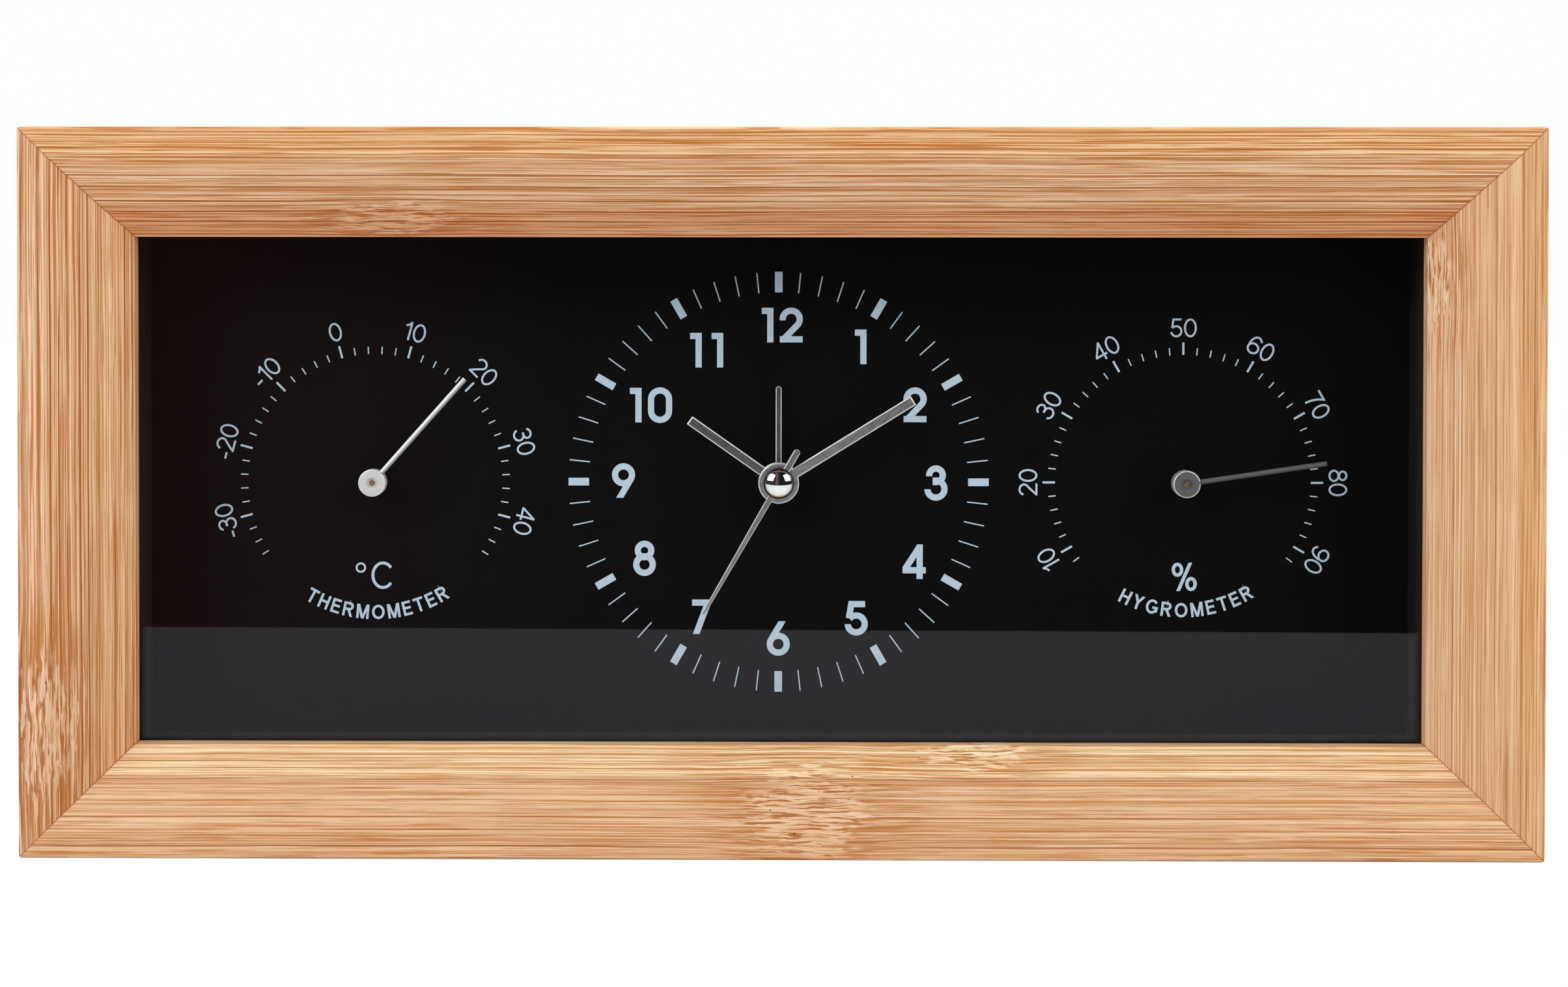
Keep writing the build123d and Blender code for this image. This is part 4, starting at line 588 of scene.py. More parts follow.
def pine():
    """Plain pine, with its rings along the strip."""
    s = Shader("pine")
    rings = s.noise(s.stretch(s.point(), 0.02, 0.9, 0.9), 1.0, 3.0, 0.6)
    colour = s.ramp(
        rings, (0.35, (0.44, 0.25, 0.11)), (0.5, (0.60, 0.39, 0.20)), (0.65, (0.68, 0.47, 0.26)),
    )
    s.surface(colour, 0.62, s.bump(rings, 0.05), shine=0.3)
    return s.owner


def foam():
    """White foam with open cells."""
    s = Shader("foam")
    cells = s.node("TexVoronoi", {"Vector": s.point(), "Scale": 2.6}).outputs[0]
    colour = s.ramp(cells, (0.1, (0.46, 0.46, 0.45)), (0.6, (0.72, 0.72, 0.70)))
    s.surface(colour, 0.9, s.bump(cells, 0.12), shine=0.2)
    return s.owner


def copper_winding(pitch=0.16):
    """Enamelled wire, wound round the coil's long axis."""
    s = Shader("copper_winding")
    point, _, _, z = s.place()
    turns = s.math("SINE", s.multiply(z, math.tau / pitch))
    stains = s.noise(point, 1.2, 2.0)
    tint = s.tones(stains, (0.42, 0.135, 0.05), (0.62, 0.23, 0.09))
    s.surface(tint, 0.3, s.bump(turns, 0.03), metallic=0.9)
    return s.owner


def circuit():
    """Green board with paler lines where its copper tracks lie under the lacquer."""
    s = Shader("circuit")
    cells = s.node("TexVoronoi", {"Vector": s.point(), "Scale": 0.55}, feature="DISTANCE_TO_EDGE")
    board = s.step(cells.outputs[0], 0.05, 0.09)
    colour = s.mix(board, (0.055, 0.30, 0.10), (0.018, 0.13, 0.05))
    s.surface(colour, 0.3, s.bump(board, 0.02), shine=0.5)
    return s.owner


def battery_wrap():
    """A plain grey sleeve with a pale band at one end and bare steel at both."""
    s = Shader("battery_wrap")
    point, x, _, _ = s.place()
    low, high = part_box("battery_cell")
    from_minus = s.subtract(x, low.x / MM)
    from_plus = s.subtract(high.x / MM, x)
    scuffs = s.noise(s.stretch(point, 0.4, 2.0, 2.0), 1.0, 3.0)
    colour = s.tones(scuffs, (0.075, 0.095, 0.10), (0.10, 0.125, 0.13))
    colour = s.mix(s.fade(from_plus, 5.0, 5.1), colour, (0.58, 0.60, 0.60))
    bare = s.math("MAXIMUM", s.fade(from_minus, 0.8, 0.9), s.fade(from_plus, 1.9, 2.0))
    colour = s.mix(bare, colour, (0.62, 0.62, 0.63))
    s.surface(colour, s.spread(scuffs, 0.28, 0.38), s.bump(scuffs, 0.01), metallic=bare)
    return s.owner


def polished_chrome():
    """Bright chrome with a faint haze."""
    s = Shader("polished_chrome")
    haze = s.noise(s.point(), 1.5, 2.0)
    colour = s.tones(haze, (0.84, 0.845, 0.85), (0.92, 0.925, 0.93))
    s.surface(colour, s.spread(haze, 0.03, 0.055), metallic=1.0)
    return s.owner


MATERIALS = {
    "glass": clear_glass(),
    "spacer_black": mottled(
        "spacer_black", (0.004, 0.004, 0.004), (0.009, 0.008, 0.008), 0.7, 0.85, 0.03, (1.2, 3.5, 1.2),
        shine=0.2,
    ),
    "dial_black": dial_black(),
    "hardboard": hardboard(),
    "print_light": mottled(
        "print_light", (0.47, 0.58, 0.70), (0.55, 0.67, 0.80), 0.6, 0.6, 0.02, (1.6, 1.6, 1.6),
        roughness=0.6, shine=0.2,
    ),
    "pine": pine(),
    "steel": metal("zinc_plated_steel", (0.62, 0.62, 0.63), 0.28, 0.42),
    "iron": metal("rolled_iron", (0.36, 0.36, 0.38), 0.38, 0.55),
    "foam": foam(),
    "case_plastic": plastic("case_plastic", (0.010, 0.010, 0.011), (0.016, 0.016, 0.017), 0.48, 3.5, 0.03),
    "wheel_plastic": plastic("wheel_plastic", (0.66, 0.65, 0.60), (0.74, 0.73, 0.68), 0.36, 2.0, 0.008),
    "copper": copper_winding(),
    "circuit": circuit(),
    "battery_wrap": battery_wrap(),
    "aluminium": brushed("brushed_aluminium", (0.80, 0.80, 0.82), 0.26, 0.40, 62),
    "chrome": polished_chrome(),
    "brass": metal("turned_brass", (0.75, 0.50, 0.19), 0.22, 0.34),
    "zinc": metal("pressed_zinc", (0.58, 0.59, 0.60), 0.34, 0.5, 0.8),
    "bimetal": brushed("bimetal_strip", (0.55, 0.43, 0.28), 0.3, 0.45, 0),
}

# Hands: the way each points at rest in degrees, its half width at the hub and at the tip,
# its length, its tail, its hub's radius, the width of its rim, its tint, which paints how bright
# the room's reflection makes its face, the direction of its brushing in degrees, and how dark its hub is
Hand = namedtuple("Hand", "angle hub_half tip_half length tail hub rim tint brush shade")
HANDS = {
    "hour_hand": Hand(305.1, 0.8, 0.8, 18.5, 0.0, 3.45, 0.18, (0.32, 0.32, 0.35), 90, 0.0),
    "minute_hand": Hand(58.3, 0.85, 0.85, 26.8, 0.0, 3.45, 0.18, (0.64, 0.65, 0.70), 62, 0.0),
    "second_hand": Hand(210.0, 0.525, 0.275, 25.6, 6.6, 2.6, 0.11, (0.50, 0.50, 0.53), 210, 0.95),
    "alarm_hand": Hand(0.0, 0.5, 0.5, 16.4, 0.0, 3.45, 0.17, (0.26, 0.26, 0.28), 0, 0.0),
}
# Painted highlight: the pale colour of the bevelled rims of hands and of the pointers' collar edges
RIM_HIGHLIGHT = (0.88, 0.88, 0.90)
HUB_SHADE = (0.01, 0.01, 0.01)


def turned_frame(s, centre, degrees):
    """A point, its x and z from the centre, and how far along and across a hand it lies."""
    point, x, _, z = s.place()
    x = s.subtract(x, centre.x / MM)
    z = s.subtract(z, centre.z / MM)
    return point, x, z, *s.turn(x, z, degrees)


def inside_bar(s, along, across, bar):
    """How far inside the outline of a bar with a round hub a point lies."""
    taper = s.multiply(along, (bar.tip_half - bar.hub_half) / bar.length)
    half = s.add(s.math("MINIMUM", taper, 0.0), bar.hub_half)
    side = s.subtract(half, s.math("ABSOLUTE", across))
    ends = s.math("MINIMUM", s.subtract(bar.length, along), s.add(along, bar.tail))
    in_hub = s.subtract(bar.hub, s.length(along, across))
    return s.math("MAXIMUM", s.math("MINIMUM", side, ends), in_hub)


def hand_metal(name):
    """Aluminium with a brushed face, tinted to paint the room's reflection, and a painted highlight on its
    bevelled rim.
    """
    hand = HANDS[name]
    s = Shader(name + "_metal")
    _, x, z, along, across = turned_frame(s, CLOCK, hand.angle)
    inside = inside_bar(s, along, across, hand)
    rim = s.step(inside, hand.rim * 1.25, hand.rim * 0.75)
    down_brush, over_brush = s.turn(x, z, hand.brush)
    stroked = s.vector(s.multiply(down_brush, 0.5), s.multiply(over_brush, 5.0), 0.0)
    lines = s.noise(stroked, 1.0, 3.0, 0.65)
    # Painted reflection: each hand's tint sets how bright the reflected room makes its brushed face
    face = s.ramp(lines, (0.34, darker(hand.tint, 0.75)), (0.66, hand.tint))
    colour = s.mix(rim, face, RIM_HIGHLIGHT)
    shade = s.step(s.length(x, z), hand.hub + 0.04, hand.hub - 0.02, 0.0, hand.shade)
    colour = s.mix(shade, colour, HUB_SHADE)
    roughness = s.mix_value(rim, s.spread(lines, 0.26, 0.38), 0.32)
    height = s.add(s.step(inside, 0.0, hand.rim), s.multiply(lines, 0.04))
    metallic = s.subtract(1.0, s.multiply(rim, 0.55))
    s.surface(colour, roughness, s.bump(height, 0.10), metallic=metallic)
    return s.owner


# Pointers: centre, the way each points at rest in degrees to the right of the top, its length,
# the tints that paint its ridge lit on the left side and shaded on the right, the tint of its collar and how
# metallic it is.
# Both have the same width, no tail and the same collar
Pointer = namedtuple(
    "Pointer", "centre angle length left right collar metallic hub_half tip_half tail hub",
    defaults=(0.4, 0.4, 0.0, 2.3),
)
POINTERS = {
    "thermometer_pointer": Pointer(
        THERMOMETER, 41.7, 23.6, (0.98, 0.98, 0.99), (0.44, 0.44, 0.42), (0.78, 0.77, 0.82), 0.25,
    ),
    "hygrometer_pointer": Pointer(
        HYGROMETER, 81.6, 24.0, (0.17, 0.17, 0.175), (0.12, 0.12, 0.125), (0.155, 0.155, 0.17), 0.45,
    ),
}


def pointer_metal(name):
    """A pressed pointer with a low ridge, painted lit on its left and shaded on its right, on a turned collar
    with a painted highlight on its edge.
    """
    pointer = POINTERS[name]
    s = Shader(name + "_metal")
    point, x, z, along, across = turned_frame(s, pointer.centre, pointer.angle)
    inside = inside_bar(s, along, across, pointer)
    on_collar = s.step(s.length(x, z), pointer.hub + 0.05, pointer.hub - 0.02)
    # Painted light and shade: the left of the ridge lit, the right shaded
    shaft_light_and_shade = s.mix(s.step(across, -0.02, 0.14), pointer.left, pointer.right)
    pores = s.noise(point, 4.5, 2.0, 0.6)
    tone = s.grey(s.step(pores, 0.35, 0.65, 0.80, 1.0))
    colour = s.mix(1.0, s.mix(on_collar, shaft_light_and_shade, pointer.collar), tone, "MULTIPLY")
    # Painted highlight on the collar's edge
    rim = s.multiply(s.step(inside, 0.24, 0.14), on_collar)
    colour = s.mix(s.multiply(rim, 0.75), colour, RIM_HIGHLIGHT)
    ridge = s.step(s.math("ABSOLUTE", across), pointer.hub_half, 0.0)
    ridge = s.multiply(ridge, s.subtract(1.0, on_collar))
    height = s.add(ridge, s.add(s.multiply(pores, 0.15), s.step(inside, 0.0, 0.2)))
    s.surface(colour, s.spread(pores, 0.36, 0.5), s.bump(height, 0.09), metallic=pointer.metallic)
    return s.owner


OWN_FINISH = {name: hand_metal(name) for name in HANDS}
OWN_FINISH.update({name: pointer_metal(name) for name in POINTERS})

# Nodes whose edges are eased, each with the width of the ease in millimetres, the steps over an
# ease, the bend in degrees from which an edge is eased, and how near corners are one
EASED = {
    **dict.fromkeys(RAILS, 0.22),
    **dict.fromkeys(("battery_door", "time_set_knob", "alarm_set_knob"), 0.2),
    "alarm_switch": 0.15,
}
EASE_STEPS = 2
EASE_FROM = 35
SAME_CORNER = 0.002


def dress_nodes():
    """Gives each node its finish, and eases the edges that catch the light."""
    for name, node in frame["nodes"].items():
        slot = node.data.materials[0].name
        if name in RAILS:
            finish = bamboo(name)
        else:
            finish = OWN_FINISH.get(name, MATERIALS.get(slot))
        node.data.materials.clear()
        node.data.materials.append(finish)
        if name in EASED:
            weld = node.modifiers.new("weld", "WELD")
            weld.merge_threshold = SAME_CORNER * MM
            ease = node.modifiers.new("ease", "BEVEL")
            ease.width = EASED[name] * MM
            ease.segments = EASE_STEPS
            ease.limit_method = "ANGLE"
            ease.angle_limit = math.radians(EASE_FROM)
            ease.harden_normals = True


def object_of(mesh, name, material):
    """A new object from a bmesh, which it uses up."""
    data = bpy.data.meshes.new(name)
    mesh.to_mesh(data)
    mesh.free()
    data.materials.append(material)
    return add_object(name, data)


# The cap on the hands: how steep its dome is at its edge, how far it reaches,
# and the steps round it, up it and over its rounded edge
DOME_TILT = 41
DOME_SHARE = 0.97
CAP_AROUND = 64
CAP_UP = 12
EDGE_STEPS = 5


def cap_profile(low, high):
    """The cap's outline from near its middle to its back, as (distance from the axis, y)."""
    radius = (high.x - low.x) / 2
    tilt = math.radians(DOME_TILT)
    ball = radius * DOME_SHARE / math.sin(tilt)
    profile = []
    for i in range(1, CAP_UP + 1):
        turn = tilt * i / CAP_UP
        profile.append((ball * math.sin(turn), low.y + ball * (1 - math.cos(turn))))
    reach, depth = profile[-1]
    bend = (radius - reach) / (1 - math.sin(tilt))
    for i in range(1, EDGE_STEPS + 1):
        turn = tilt + (math.pi / 2 - tilt) * i / EDGE_STEPS
        out = bend * (math.sin(turn) - math.sin(tilt))
        profile.append((reach + out, depth + bend * (math.cos(tilt) - math.cos(turn))))
    profile.append((radius, high.y))
    return profile


def make_cap():
    """A polished cap: a shallow dome on a short rim with an eased edge."""
    low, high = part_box("centre_cap")
    turns = [math.tau * i / CAP_AROUND for i in range(CAP_AROUND)]
    mesh = bmesh.new()
    rings = [
        [mesh.verts.new((CLOCK.x + reach * math.cos(t), y, CLOCK.z + reach * math.sin(t))) for t in turns]
        for reach, y in cap_profile(low, high)
    ]
    top = mesh.verts.new((CLOCK.x, low.y, CLOCK.z))
    for i in range(CAP_AROUND):
        after = (i + 1) % CAP_AROUND
        mesh.faces.new((top, rings[0][after], rings[0][i]))
        for inner, outer in zip(rings, rings[1:]):
            mesh.faces.new((inner[i], inner[after], outer[after], outer[i]))
    mesh.faces.new(rings[-1])
    bmesh.ops.recalc_face_normals(mesh, faces=list(mesh.faces))
    for face in mesh.faces:
        face.smooth = len(face.verts) <= 4
    piece = object_of(mesh, "polished_cap", MATERIALS["chrome"])
    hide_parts("centre_cap")
    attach(piece, body_of(frame["nodes"]["centre_cap"])[0])


# Lettering: strokes in a box one unit high, as (points, closed, start cut, end cut),
# where a cut is the direction in which a stroke's end is sliced
LEVEL = (1.0, 0.0)


def arc(x, y, rx, ry, start, end, steps=28):
    """Points on an ellipse from one angle to another, in degrees."""
    turns = [math.radians(start + (end - start) * i / steps) for i in range(steps + 1)]
    return [(x + rx * math.cos(t), y + ry * math.sin(t)) for t in turns]


def stroke(points, closed=False, start=None, end=None):
    return points, closed, start, end


def oval(x, y, rx, ry):
    """A closed stroke round an ellipse."""
    return stroke(arc(x, y, rx, ry, 0, 360), closed=True)


def bar(x1, y1, x2, y2):
    """A straight stroke."""
    return stroke([(x1, y1), (x2, y2)])


def turned(lines, width):
    """The same strokes turned half round, in a box of that width."""
    return [
        ([(width - x, 1 - y) for x, y in points], closed, start, end)
        for points, closed, start, end in lines
    ]


# The clock's digits: bold, of one stroke width, drawn from circles and straight lines
BOLD = 0.178
EDGE = BOLD / 2
ROUND = 0.335 - EDGE
SMALL_ROUND = 0.285 - EDGE
ZERO_ROUND = 0.35 - EDGE
BOLD_SIX = [
    oval(0.335, 0.335, ROUND, ROUND),
    stroke([(0.445, 1.0)] + arc(0.335, 0.335, ROUND, ROUND, 150, 180, 4), start=LEVEL),
]
BOLD_DIGITS = {
    "0": (0.70, [stroke(
        arc(0.35, 0.665, ZERO_ROUND, ZERO_ROUND, 0, 180) + arc(0.35, 0.335, ZERO_ROUND, ZERO_ROUND, 180, 360),
        closed=True,
    )]),
    "1": (0.335, [stroke([(0.0, 1 - EDGE), (0.335 - EDGE, 1 - EDGE), (0.335 - EDGE, 0.0)])]),
    "2": (0.66, [
        stroke(arc(0.33, 0.672, ROUND, ROUND, 188, -38) + [(0.09, 0.07)], start=LEVEL),
        bar(0.0, EDGE, 0.66, EDGE),
    ]),
    "3": (0.67, [
        stroke(
            arc(0.335, 0.735, SMALL_ROUND, SMALL_ROUND, 188, -90) + [(0.24, 0.735 - SMALL_ROUND)],
            start=LEVEL,
        ),
        stroke([(0.24, 0.335 + ROUND)] + arc(0.335, 0.335, ROUND, ROUND, 90, -178), end=LEVEL),
    ]),
    "4": (0.67, [bar(0.495, 0.0, 0.495, 1.0), bar(0.0, 0.252, 0.67, 0.252), bar(0.49, 0.932, 0.075, 0.29)]),
    "5": (0.68, [
        stroke([(0.60, 1 - EDGE), (0.20, 1 - EDGE), (0.13, 0.50)]),
        stroke(arc(0.345, 0.335, ROUND, ROUND, 142, -178), end=LEVEL),
    ]),
    "6": (0.67, BOLD_SIX),
    "7": (0.56, [stroke([(0.0, 1 - EDGE), (0.46, 1 - EDGE), (0.12, 0.0)], end=LEVEL)]),
    "8": (0.66, [oval(0.33, 0.333, 0.24, 0.24), oval(0.33, 0.742, 0.195, 0.195)]),
    "9": (0.67, turned(BOLD_SIX, 0.67)),
}

# The gauges' digits and signs: a light grotesque
THIN = 0.102
RIM = THIN / 2
THIN_SIX = [
    oval(0.34, 0.31, 0.34 - RIM, 0.31 - RIM),
    stroke(arc(0.37, 0.46, 0.37 - RIM, 0.54 - RIM, 42, 185)),
]
THIN_DIGITS = {
    "0": (0.68, [oval(0.34, 0.5, 0.34 - RIM, 0.5 - RIM)]),
    "1": (0.40, [bar(0.31, 0.0, 0.31, 1.0), stroke([(0.31, 0.95), (0.22, 0.84), (0.04, 0.74)])]),
    "2": (0.66, [
        stroke(arc(0.33, 0.71, 0.32 - RIM, 0.29 - RIM, 172, -38) + [(0.30, 0.32), (0.10, 0.09)]),
        bar(0.02, RIM, 0.65, RIM),
    ]),
    "3": (0.66, [
        stroke(arc(0.32, 0.745, 0.29 - RIM, 0.255 - RIM, 168, -90) + [(0.22, 0.555)]),
        stroke([(0.22, 0.555)] + arc(0.32, 0.305, 0.325 - RIM, 0.305 - RIM, 90, -170)),
    ]),
    "4": (0.68, [bar(0.49, 0.0, 0.49, 1.0), bar(0.0, 0.28, 0.68, 0.28), bar(0.48, 0.95, 0.05, 0.30)]),
    "5": (0.66, [
        stroke([(0.60, 1 - RIM), (0.18, 1 - RIM), (0.11, 0.50)]),
        stroke(arc(0.33, 0.32, 0.32 - RIM, 0.32 - RIM, 140, -170)),
    ]),
    "6": (0.68, THIN_SIX),
    "7": (0.64, [stroke([(0.02, 1 - RIM), (0.60, 1 - RIM), (0.42, 0.66), (0.31, 0.34), (0.26, 0.0)])]),
    "8": (0.66, [oval(0.33, 0.29, 0.325 - RIM, 0.29 - RIM), oval(0.33, 0.755, 0.28 - RIM, 0.245 - RIM)]),
    "9": (0.68, turned(THIN_SIX, 0.68)),
    "-": (0.34, [bar(0.0, 0.34, 0.34, 0.34)]),
    "C": (0.80, [stroke(arc(0.42, 0.5, 0.42 - RIM, 0.5 - RIM, 38, 322))]),
}

# Capital letters for the two instruments' names
CAPITAL = 0.165
SIDE = CAPITAL / 2
CAPITALS = {
    "E": (0.62, [
        bar(SIDE, 0.0, SIDE, 1.0),
        bar(0.0, SIDE, 0.62, SIDE),
        bar(0.0, 0.52, 0.57, 0.52),
        bar(0.0, 1 - SIDE, 0.60, 1 - SIDE),
    ]),
    "G": (0.84, [
        stroke(arc(0.42, 0.5, 0.42 - SIDE, 0.5 - SIDE, 40, 322) + [(0.76, 0.24), (0.76, 0.46)]),
        bar(0.46, 0.45, 0.84, 0.45),
    ]),
    "H": (0.70, [
        bar(SIDE, 0.0, SIDE, 1.0),
        bar(0.70 - SIDE, 0.0, 0.70 - SIDE, 1.0),
        bar(0.0, 0.52, 0.70, 0.52),
    ]),
    "M": (0.86, [
        bar(SIDE, 0.0, SIDE, 1.0),
        bar(0.86 - SIDE, 0.0, 0.86 - SIDE, 1.0),
        stroke([(0.11, 1.0), (0.43, 0.0)], start=LEVEL, end=LEVEL),
        stroke([(0.75, 1.0), (0.43, 0.0)], start=LEVEL, end=LEVEL),
    ]),
    "O": (0.88, [oval(0.44, 0.5, 0.44 - SIDE, 0.5 - SIDE)]),
    "R": (0.74, [
        bar(SIDE, 0.0, SIDE, 1.0),
        stroke(
            [(0.0, 1 - SIDE), (0.40, 1 - SIDE)] + arc(0.40, 0.71, 0.22, 0.29 - SIDE, 90, -90)
            + [(0.0, 0.50)],
        ),
        stroke([(0.36, 0.52), (0.63, 0.0)], end=LEVEL),
    ]),
    "T": (0.70, [bar(0.0, 1 - SIDE, 0.70, 1 - SIDE), bar(0.35, 0.0, 0.35, 0.95)]),
    "Y": (0.76, [
        stroke([(0.10, 1.0), (0.38, 0.48)], start=LEVEL),
        stroke([(0.66, 1.0), (0.38, 0.48)], start=LEVEL),
        bar(0.38, 0.0, 0.38, 0.52),
    ]),
}


# How near the ends of a closed stroke are one corner, and the least cosine a mitre is stretched by
SAME_PLACE = 1e-6
LEAST_COSINE = 0.3


def band(points, width, closed, start, end):
    """The quads of a stroke: a band of that width along its points, mitred at its corners."""
    if closed and (Vector(points[-1]) - Vector(points[0])).length < SAME_PLACE:
        points = points[:-1]
    last = len(points) - 1
    edges = []
    for i, point in enumerate(points):
        before = points[i - 1] if i > 0 or closed else None
        after = points[(i + 1) % len(points)] if i < last or closed else None
        ways = [
            (Vector(ahead) - Vector(behind)).normalized()
            for behind, ahead in ((before, point), (point, after)) if None not in (behind, ahead)
        ]
        if len(ways) == 2:
            slant = (ways[0] + ways[1]).normalized().orthogonal()
            reach = slant * (width / 2 / max(abs(slant.dot(ways[0].orthogonal())), LEAST_COSINE))
        else:
            cut = start if before is None else end
            across = ways[0].orthogonal()
            slant = Vector(cut) if cut else across
            reach = slant * (width / 2 / slant.dot(across))
        edges.append((Vector(point) - reach, Vector(point) + reach))
    pairs = list(zip(edges, edges[1:] + edges[:1] if closed else edges[1:]))
    return [(a, c, d, b) for (a, b), (c, d) in pairs]


def glyph_quads(glyph, width, height, place, angle):
    """A glyph's bands at their real size, with the middle of its box at place, turned clockwise."""
    box_width, lines = glyph
    turn = Matrix.Rotation(-math.radians(angle), 2)
    quads = []
    for points, closed, start, end in lines:
        for quad in band(points, width, closed, start, end):
            quads.append([
                turn @ (Vector((p.x - box_width / 2, p.y - 0.5)) * height) + Vector(place) for p in quad
            ])
    return quads


# Corners of print nearer than this, in millimetres, are one, and edges bent less, in degrees, go
PRINT_WELD = 1e-4
PRINT_FLAT = 0.5


def printed(name, groups, centre):
    """One thin printed piece: each group of quads is joined into one clean outline.

    The quads are in millimetres from centre, in the plane of the dial."""
    mesh = bmesh.new()
    for quads in groups:
        corners = [corner for quad in quads for corner in quad]
        faces = [list(range(4 * i, 4 * i + 4)) for i in range(len(quads))]
        points, _, triangles, _, _, sources = delaunay_2d_cdt(corners, [], faces, 0, PRINT_WELD)
        verts = [mesh.verts.new((centre.x + p.x * MM, MARK_FRONT, centre.z + p.y * MM)) for p in points]
        made = [
            mesh.faces.new([verts[i] for i in triangle])
            for triangle, source in zip(triangles, sources) if source
        ]
        bmesh.ops.dissolve_limit(
            mesh, angle_limit=math.radians(PRINT_FLAT), verts=list({v for f in made for v in f.verts}),
            edges=list({e for f in made for e in f.edges}), use_dissolve_boundaries=False,
        )
    loose = [v for v in mesh.verts if not v.link_faces]
    bmesh.ops.delete(mesh, geom=loose, context="VERTS")
    sides = bmesh.ops.extrude_face_region(mesh, geom=list(mesh.faces), use_keep_orig=True)
    moved = [v for v in sides["geom"] if isinstance(v, bmesh.types.BMVert)]
    bmesh.ops.translate(mesh, verts=moved, vec=(0, DIAL_FRONT - MARK_FRONT, 0))
    bmesh.ops.recalc_face_normals(mesh, faces=list(mesh.faces))
    piece = object_of(mesh, name, MATERIALS["print_light"])
    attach(piece, "frame")


def row_of(font, text, height, gap):
    """The glyphs of a word with the middle of each on a line, as (glyph, middle) in millimetres."""
    widths = [font[c][0] * height for c in text]
    total = sum(widths) + gap * (len(text) - 1)
    cursor = -total / 2
    placed = []
    for character, width in zip(text, widths):
        placed.append((font[character], cursor + width / 2))
        cursor += width + gap
    return placed


def straight_text(font, text, height, width, gap, place, angle=0):
    """Quads of a word on a straight line through place, turned clockwise by angle."""
    turn = Matrix.Rotation(-math.radians(angle), 2)
    return [
        glyph_quads(glyph, width, height, Vector(place) + turn @ Vector((middle_x, 0)), angle)
        for glyph, middle_x in row_of(font, text, height, gap)
    ]


# The clock's numerals: middle of each, in millimetres from the clock's centre
HOUR_PLACES = {
    "12": (0.6, 26.8), "1": (14.0, 23.1), "2": (23.3, 13.2), "3": (26.9, -0.2),
    "4": (23.2, -13.6), "5": (13.3, -23.3), "6": (0.0, -26.8), "7": (-13.1, -23.1),
    "8": (-22.9, -13.2), "9": (-26.5, 0.2), "10": (-21.8, 13.1), "11": (-12.3, 22.5),
}
HOUR_HEIGHT = 5.9
HOUR_GAP = 1.1
ELEVEN_GAP = 1.7

# The gauges' numerals: outside the scale, as (first number, its angle in degrees, how many)
THERMOMETER_LABELS = (-30, -105, 8)
HYGROMETER_LABELS = (10, -120, 9)
LABEL_STEP = 10
LABEL_DEGREES = 30
LABEL_HEIGHT = 3.2
LABEL_GAP = 0.25
LABEL_RADIUS = 26.4

# The gauges' units, below the centre
DEGREE_PLACE = (-2.5, -14.8)
DEGREE_RADIUS = 0.73
DEGREE_STROKE = 0.32
CELSIUS_PLACE = (1.2, -16.1)
CELSIUS_HEIGHT = 4.7
PERCENT_PLACE = (0.3, -16.1)
PERCENT_HEIGHT = 4.85
PERCENT_STROKE = 0.115
DEGREE = (1.0, [oval(0.5, 0.5, DEGREE_RADIUS, DEGREE_RADIUS)])
PERCENT = (0.87, [
    oval(0.195, 0.75, 0.145, 0.19),
    oval(0.675, 0.25, 0.145, 0.19),
    stroke([(0.22, 0.0), (0.65, 1.0)], start=LEVEL, end=LEVEL),
])

# The gauges' names, under the units: gap between letters, radius of the ring they stand on,
# and the angle of their middle from the lowest point, in degrees
NAME_HEIGHT = 2.45
NAMES = {"THERMOMETER": (0.53, 22.4, 1.0), "HYGROMETER": (0.55, 21.8, 1.8)}


def print_clock():
    groups = []
    for text, place in HOUR_PLACES.items():
        gap = ELEVEN_GAP if text == "11" else HOUR_GAP
        groups += straight_text(BOLD_DIGITS, text, HOUR_HEIGHT, BOLD, gap, place)
    printed("clock_numerals", groups, CLOCK)


def gauge_labels(first, first_angle, count):
    """Quads of a gauge's numerals, each turned to stand on its mark with its top outward."""
    groups = []
    for i in range(count):
        angle = first_angle + LABEL_DEGREES * i
        turn = math.radians(angle)
        place = (LABEL_RADIUS * math.sin(turn), LABEL_RADIUS * math.cos(turn))
        text = str(first + LABEL_STEP * i)
        groups += straight_text(THIN_DIGITS, text, LABEL_HEIGHT, THIN, LABEL_GAP, place, angle)
    return groups


def gauge_name(text):
    """Quads of a name on the lower side of its ring, with the tops of its letters inward."""
    gap, radius, centre_angle = NAMES[text]
    groups = []
    for glyph, middle_x in row_of(CAPITALS, text, NAME_HEIGHT, gap):
        turn = math.radians(centre_angle) + middle_x / radius
        place = (radius * math.sin(turn), -radius * math.cos(turn))
        groups.append(glyph_quads(glyph, CAPITAL, NAME_HEIGHT, place, -math.degrees(turn)))
    return groups


def print_gauges():
    printed("thermometer_numerals", gauge_labels(*THERMOMETER_LABELS), THERMOMETER)
    printed("hygrometer_numerals", gauge_labels(*HYGROMETER_LABELS), HYGROMETER)
    unit = [glyph_quads(DEGREE, DEGREE_STROKE, 1.0, DEGREE_PLACE, 0)]
    unit += straight_text(THIN_DIGITS, "C", CELSIUS_HEIGHT, THIN, 0, CELSIUS_PLACE)
    printed("thermometer_lettering", unit + gauge_name("THERMOMETER"), THERMOMETER)
    unit = [glyph_quads(PERCENT, PERCENT_STROKE, PERCENT_HEIGHT, PERCENT_PLACE, 0)]
    printed("hygrometer_lettering", unit + gauge_name("HYGROMETER"), HYGROMETER)


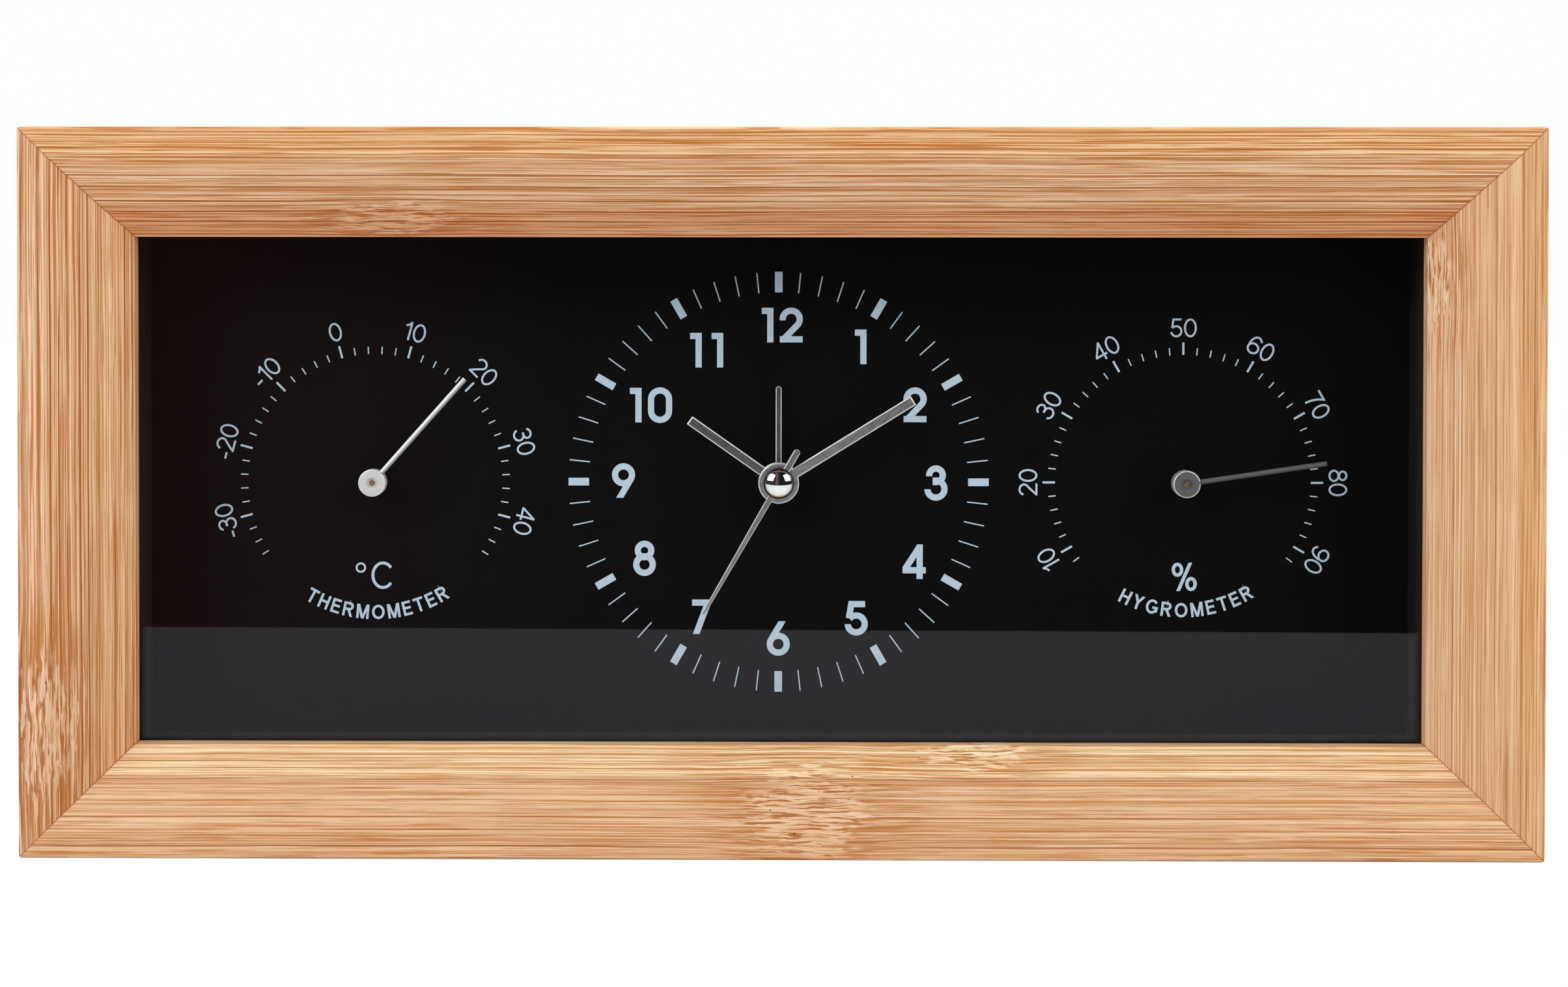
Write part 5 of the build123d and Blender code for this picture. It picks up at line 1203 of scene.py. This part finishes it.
# The studio: a white table, white behind it, a dark room in front and four soft boxes.
# The table's near edge and its turn, which the glass mirrors, and its other edges in metres
TABLE_FRONT = -0.3671
TABLE_TURN = -0.0266
TABLE_SIDE = 4.0
TABLE_BACK = 6.0

# As the table is seen: from where to where its shadow fades, in millimetres from the object,
# and how much it glows and how much of the light it shows at both
SHADOW = (15, 160)
TABLE_GLOW = (0.78, 1.0)
TABLE_LIT = (0.28, 0.02)
PAPER = (0.80, 0.80, 0.80, 1)

# The world: the plain light from all round, white, where white passes into the room in front,
# and that room from left to right, as the glass mirrors it
FILL = (0.40, 0.40, 0.40)
WHITE = (1.0, 1.0, 1.0)
ROOM_EDGE = (-0.25, 0.05)
ROOM = (
    (0.08, (0.03, 0.03, 0.03)), (0.24, (0.26, 0.10, 0.09)),
    (0.42, (0.05, 0.045, 0.045)), (0.62, (0.012, 0.012, 0.012)),
)


def white_table():
    """Plain paper to the light. Seen directly it is white, with the object's shadow on it."""
    s = Shader("white_table")
    paper = s.node("BsdfDiffuse", {"Color": PAPER}).outputs[0]
    _, x, y, _ = s.place()
    away = s.length(*(
        s.math("MAXIMUM", s.subtract(s.math("ABSOLUTE", place), edge / MM), 0.0)
        for place, edge in ((x, HIGH.x), (y, HIGH.y))
    ))
    glow = s.step(away, *SHADOW, *TABLE_GLOW)
    white = s.node("Emission", {"Color": (*WHITE, 1), "Strength": glow}).outputs[0]
    share = s.grey(s.step(away, *SHADOW, *TABLE_LIT))
    lit = s.node("BsdfDiffuse", {"Color": share}).outputs[0]
    shown = s.node("AddShader", {0: white, 1: lit}).outputs[0]
    seen = s.rays("Is Camera Ray", "Is Glossy Ray", "Is Transmission Ray")
    s.show(s.node("MixShader", {0: seen, 1: paper, 2: shown}).outputs[0])
    return s.owner


def make_table():
    mesh = bmesh.new()
    slope = math.tan(TABLE_TURN)
    near = ((side, TABLE_FRONT - side * slope) for side in (-TABLE_SIDE, TABLE_SIDE))
    corners = (*near, (TABLE_SIDE, TABLE_BACK), (-TABLE_SIDE, TABLE_BACK))
    mesh.faces.new([mesh.verts.new((x, y, LOW.z)) for x, y in corners])
    object_of(mesh, "table", white_table())


def make_world():
    """White to the camera and behind the object, a dim room in front, plain fill all round."""
    world = bpy.data.worlds.new("studio")
    bpy.context.scene.world = world
    world.cycles.sampling_method = "NONE"
    s = Shader("studio", world, "ShaderNodeOutputWorld")
    way = s.node("TexCoord").outputs["Generated"]
    x, y, _ = s.node("SeparateXYZ", {0: way}).outputs
    room = s.ramp(s.step(x, -0.5, 0.5), *ROOM)
    mirrored = s.mix(s.step(y, *ROOM_EDGE), room, WHITE)
    shiny = s.rays("Is Glossy Ray", "Is Transmission Ray")
    colour = s.mix(shiny, FILL, mirrored)
    colour = s.mix(s.rays("Is Camera Ray"), colour, WHITE)
    s.show(s.node("Background", {"Color": colour, "Strength": 1.0}).outputs[0])


# Soft boxes: name, place in metres, size in metres, power in watts
SOFT_BOXES = (
    ("soft_box_left", (-0.76, -0.62, 0.70), 0.72, 7.2),
    ("soft_box_right", (0.80, -0.56, 0.64), 0.68, 5.4),
    ("soft_box_top", (0.0, 0.12, 1.10), 0.70, 4.8),
    ("soft_box_back", (0.30, 1.05, 0.60), 0.90, 4.0),
)


def make_lights():
    target = (LOW + HIGH) / 2
    for name, place, size, power in SOFT_BOXES:
        data = bpy.data.lights.new(name, "AREA")
        data.shape = "SQUARE"
        data.size = size
        data.energy = power
        lamp = add_object(name, data)
        lamp.location = place
        lamp.rotation_euler = (target - Vector(place)).to_track_quat("-Z", "Y").to_euler()


make_camera()
dress_nodes()
make_cap()
print_clock()
print_gauges()
make_table()
make_world()
make_lights()
bpy.context.scene.view_settings.view_transform = "Standard"
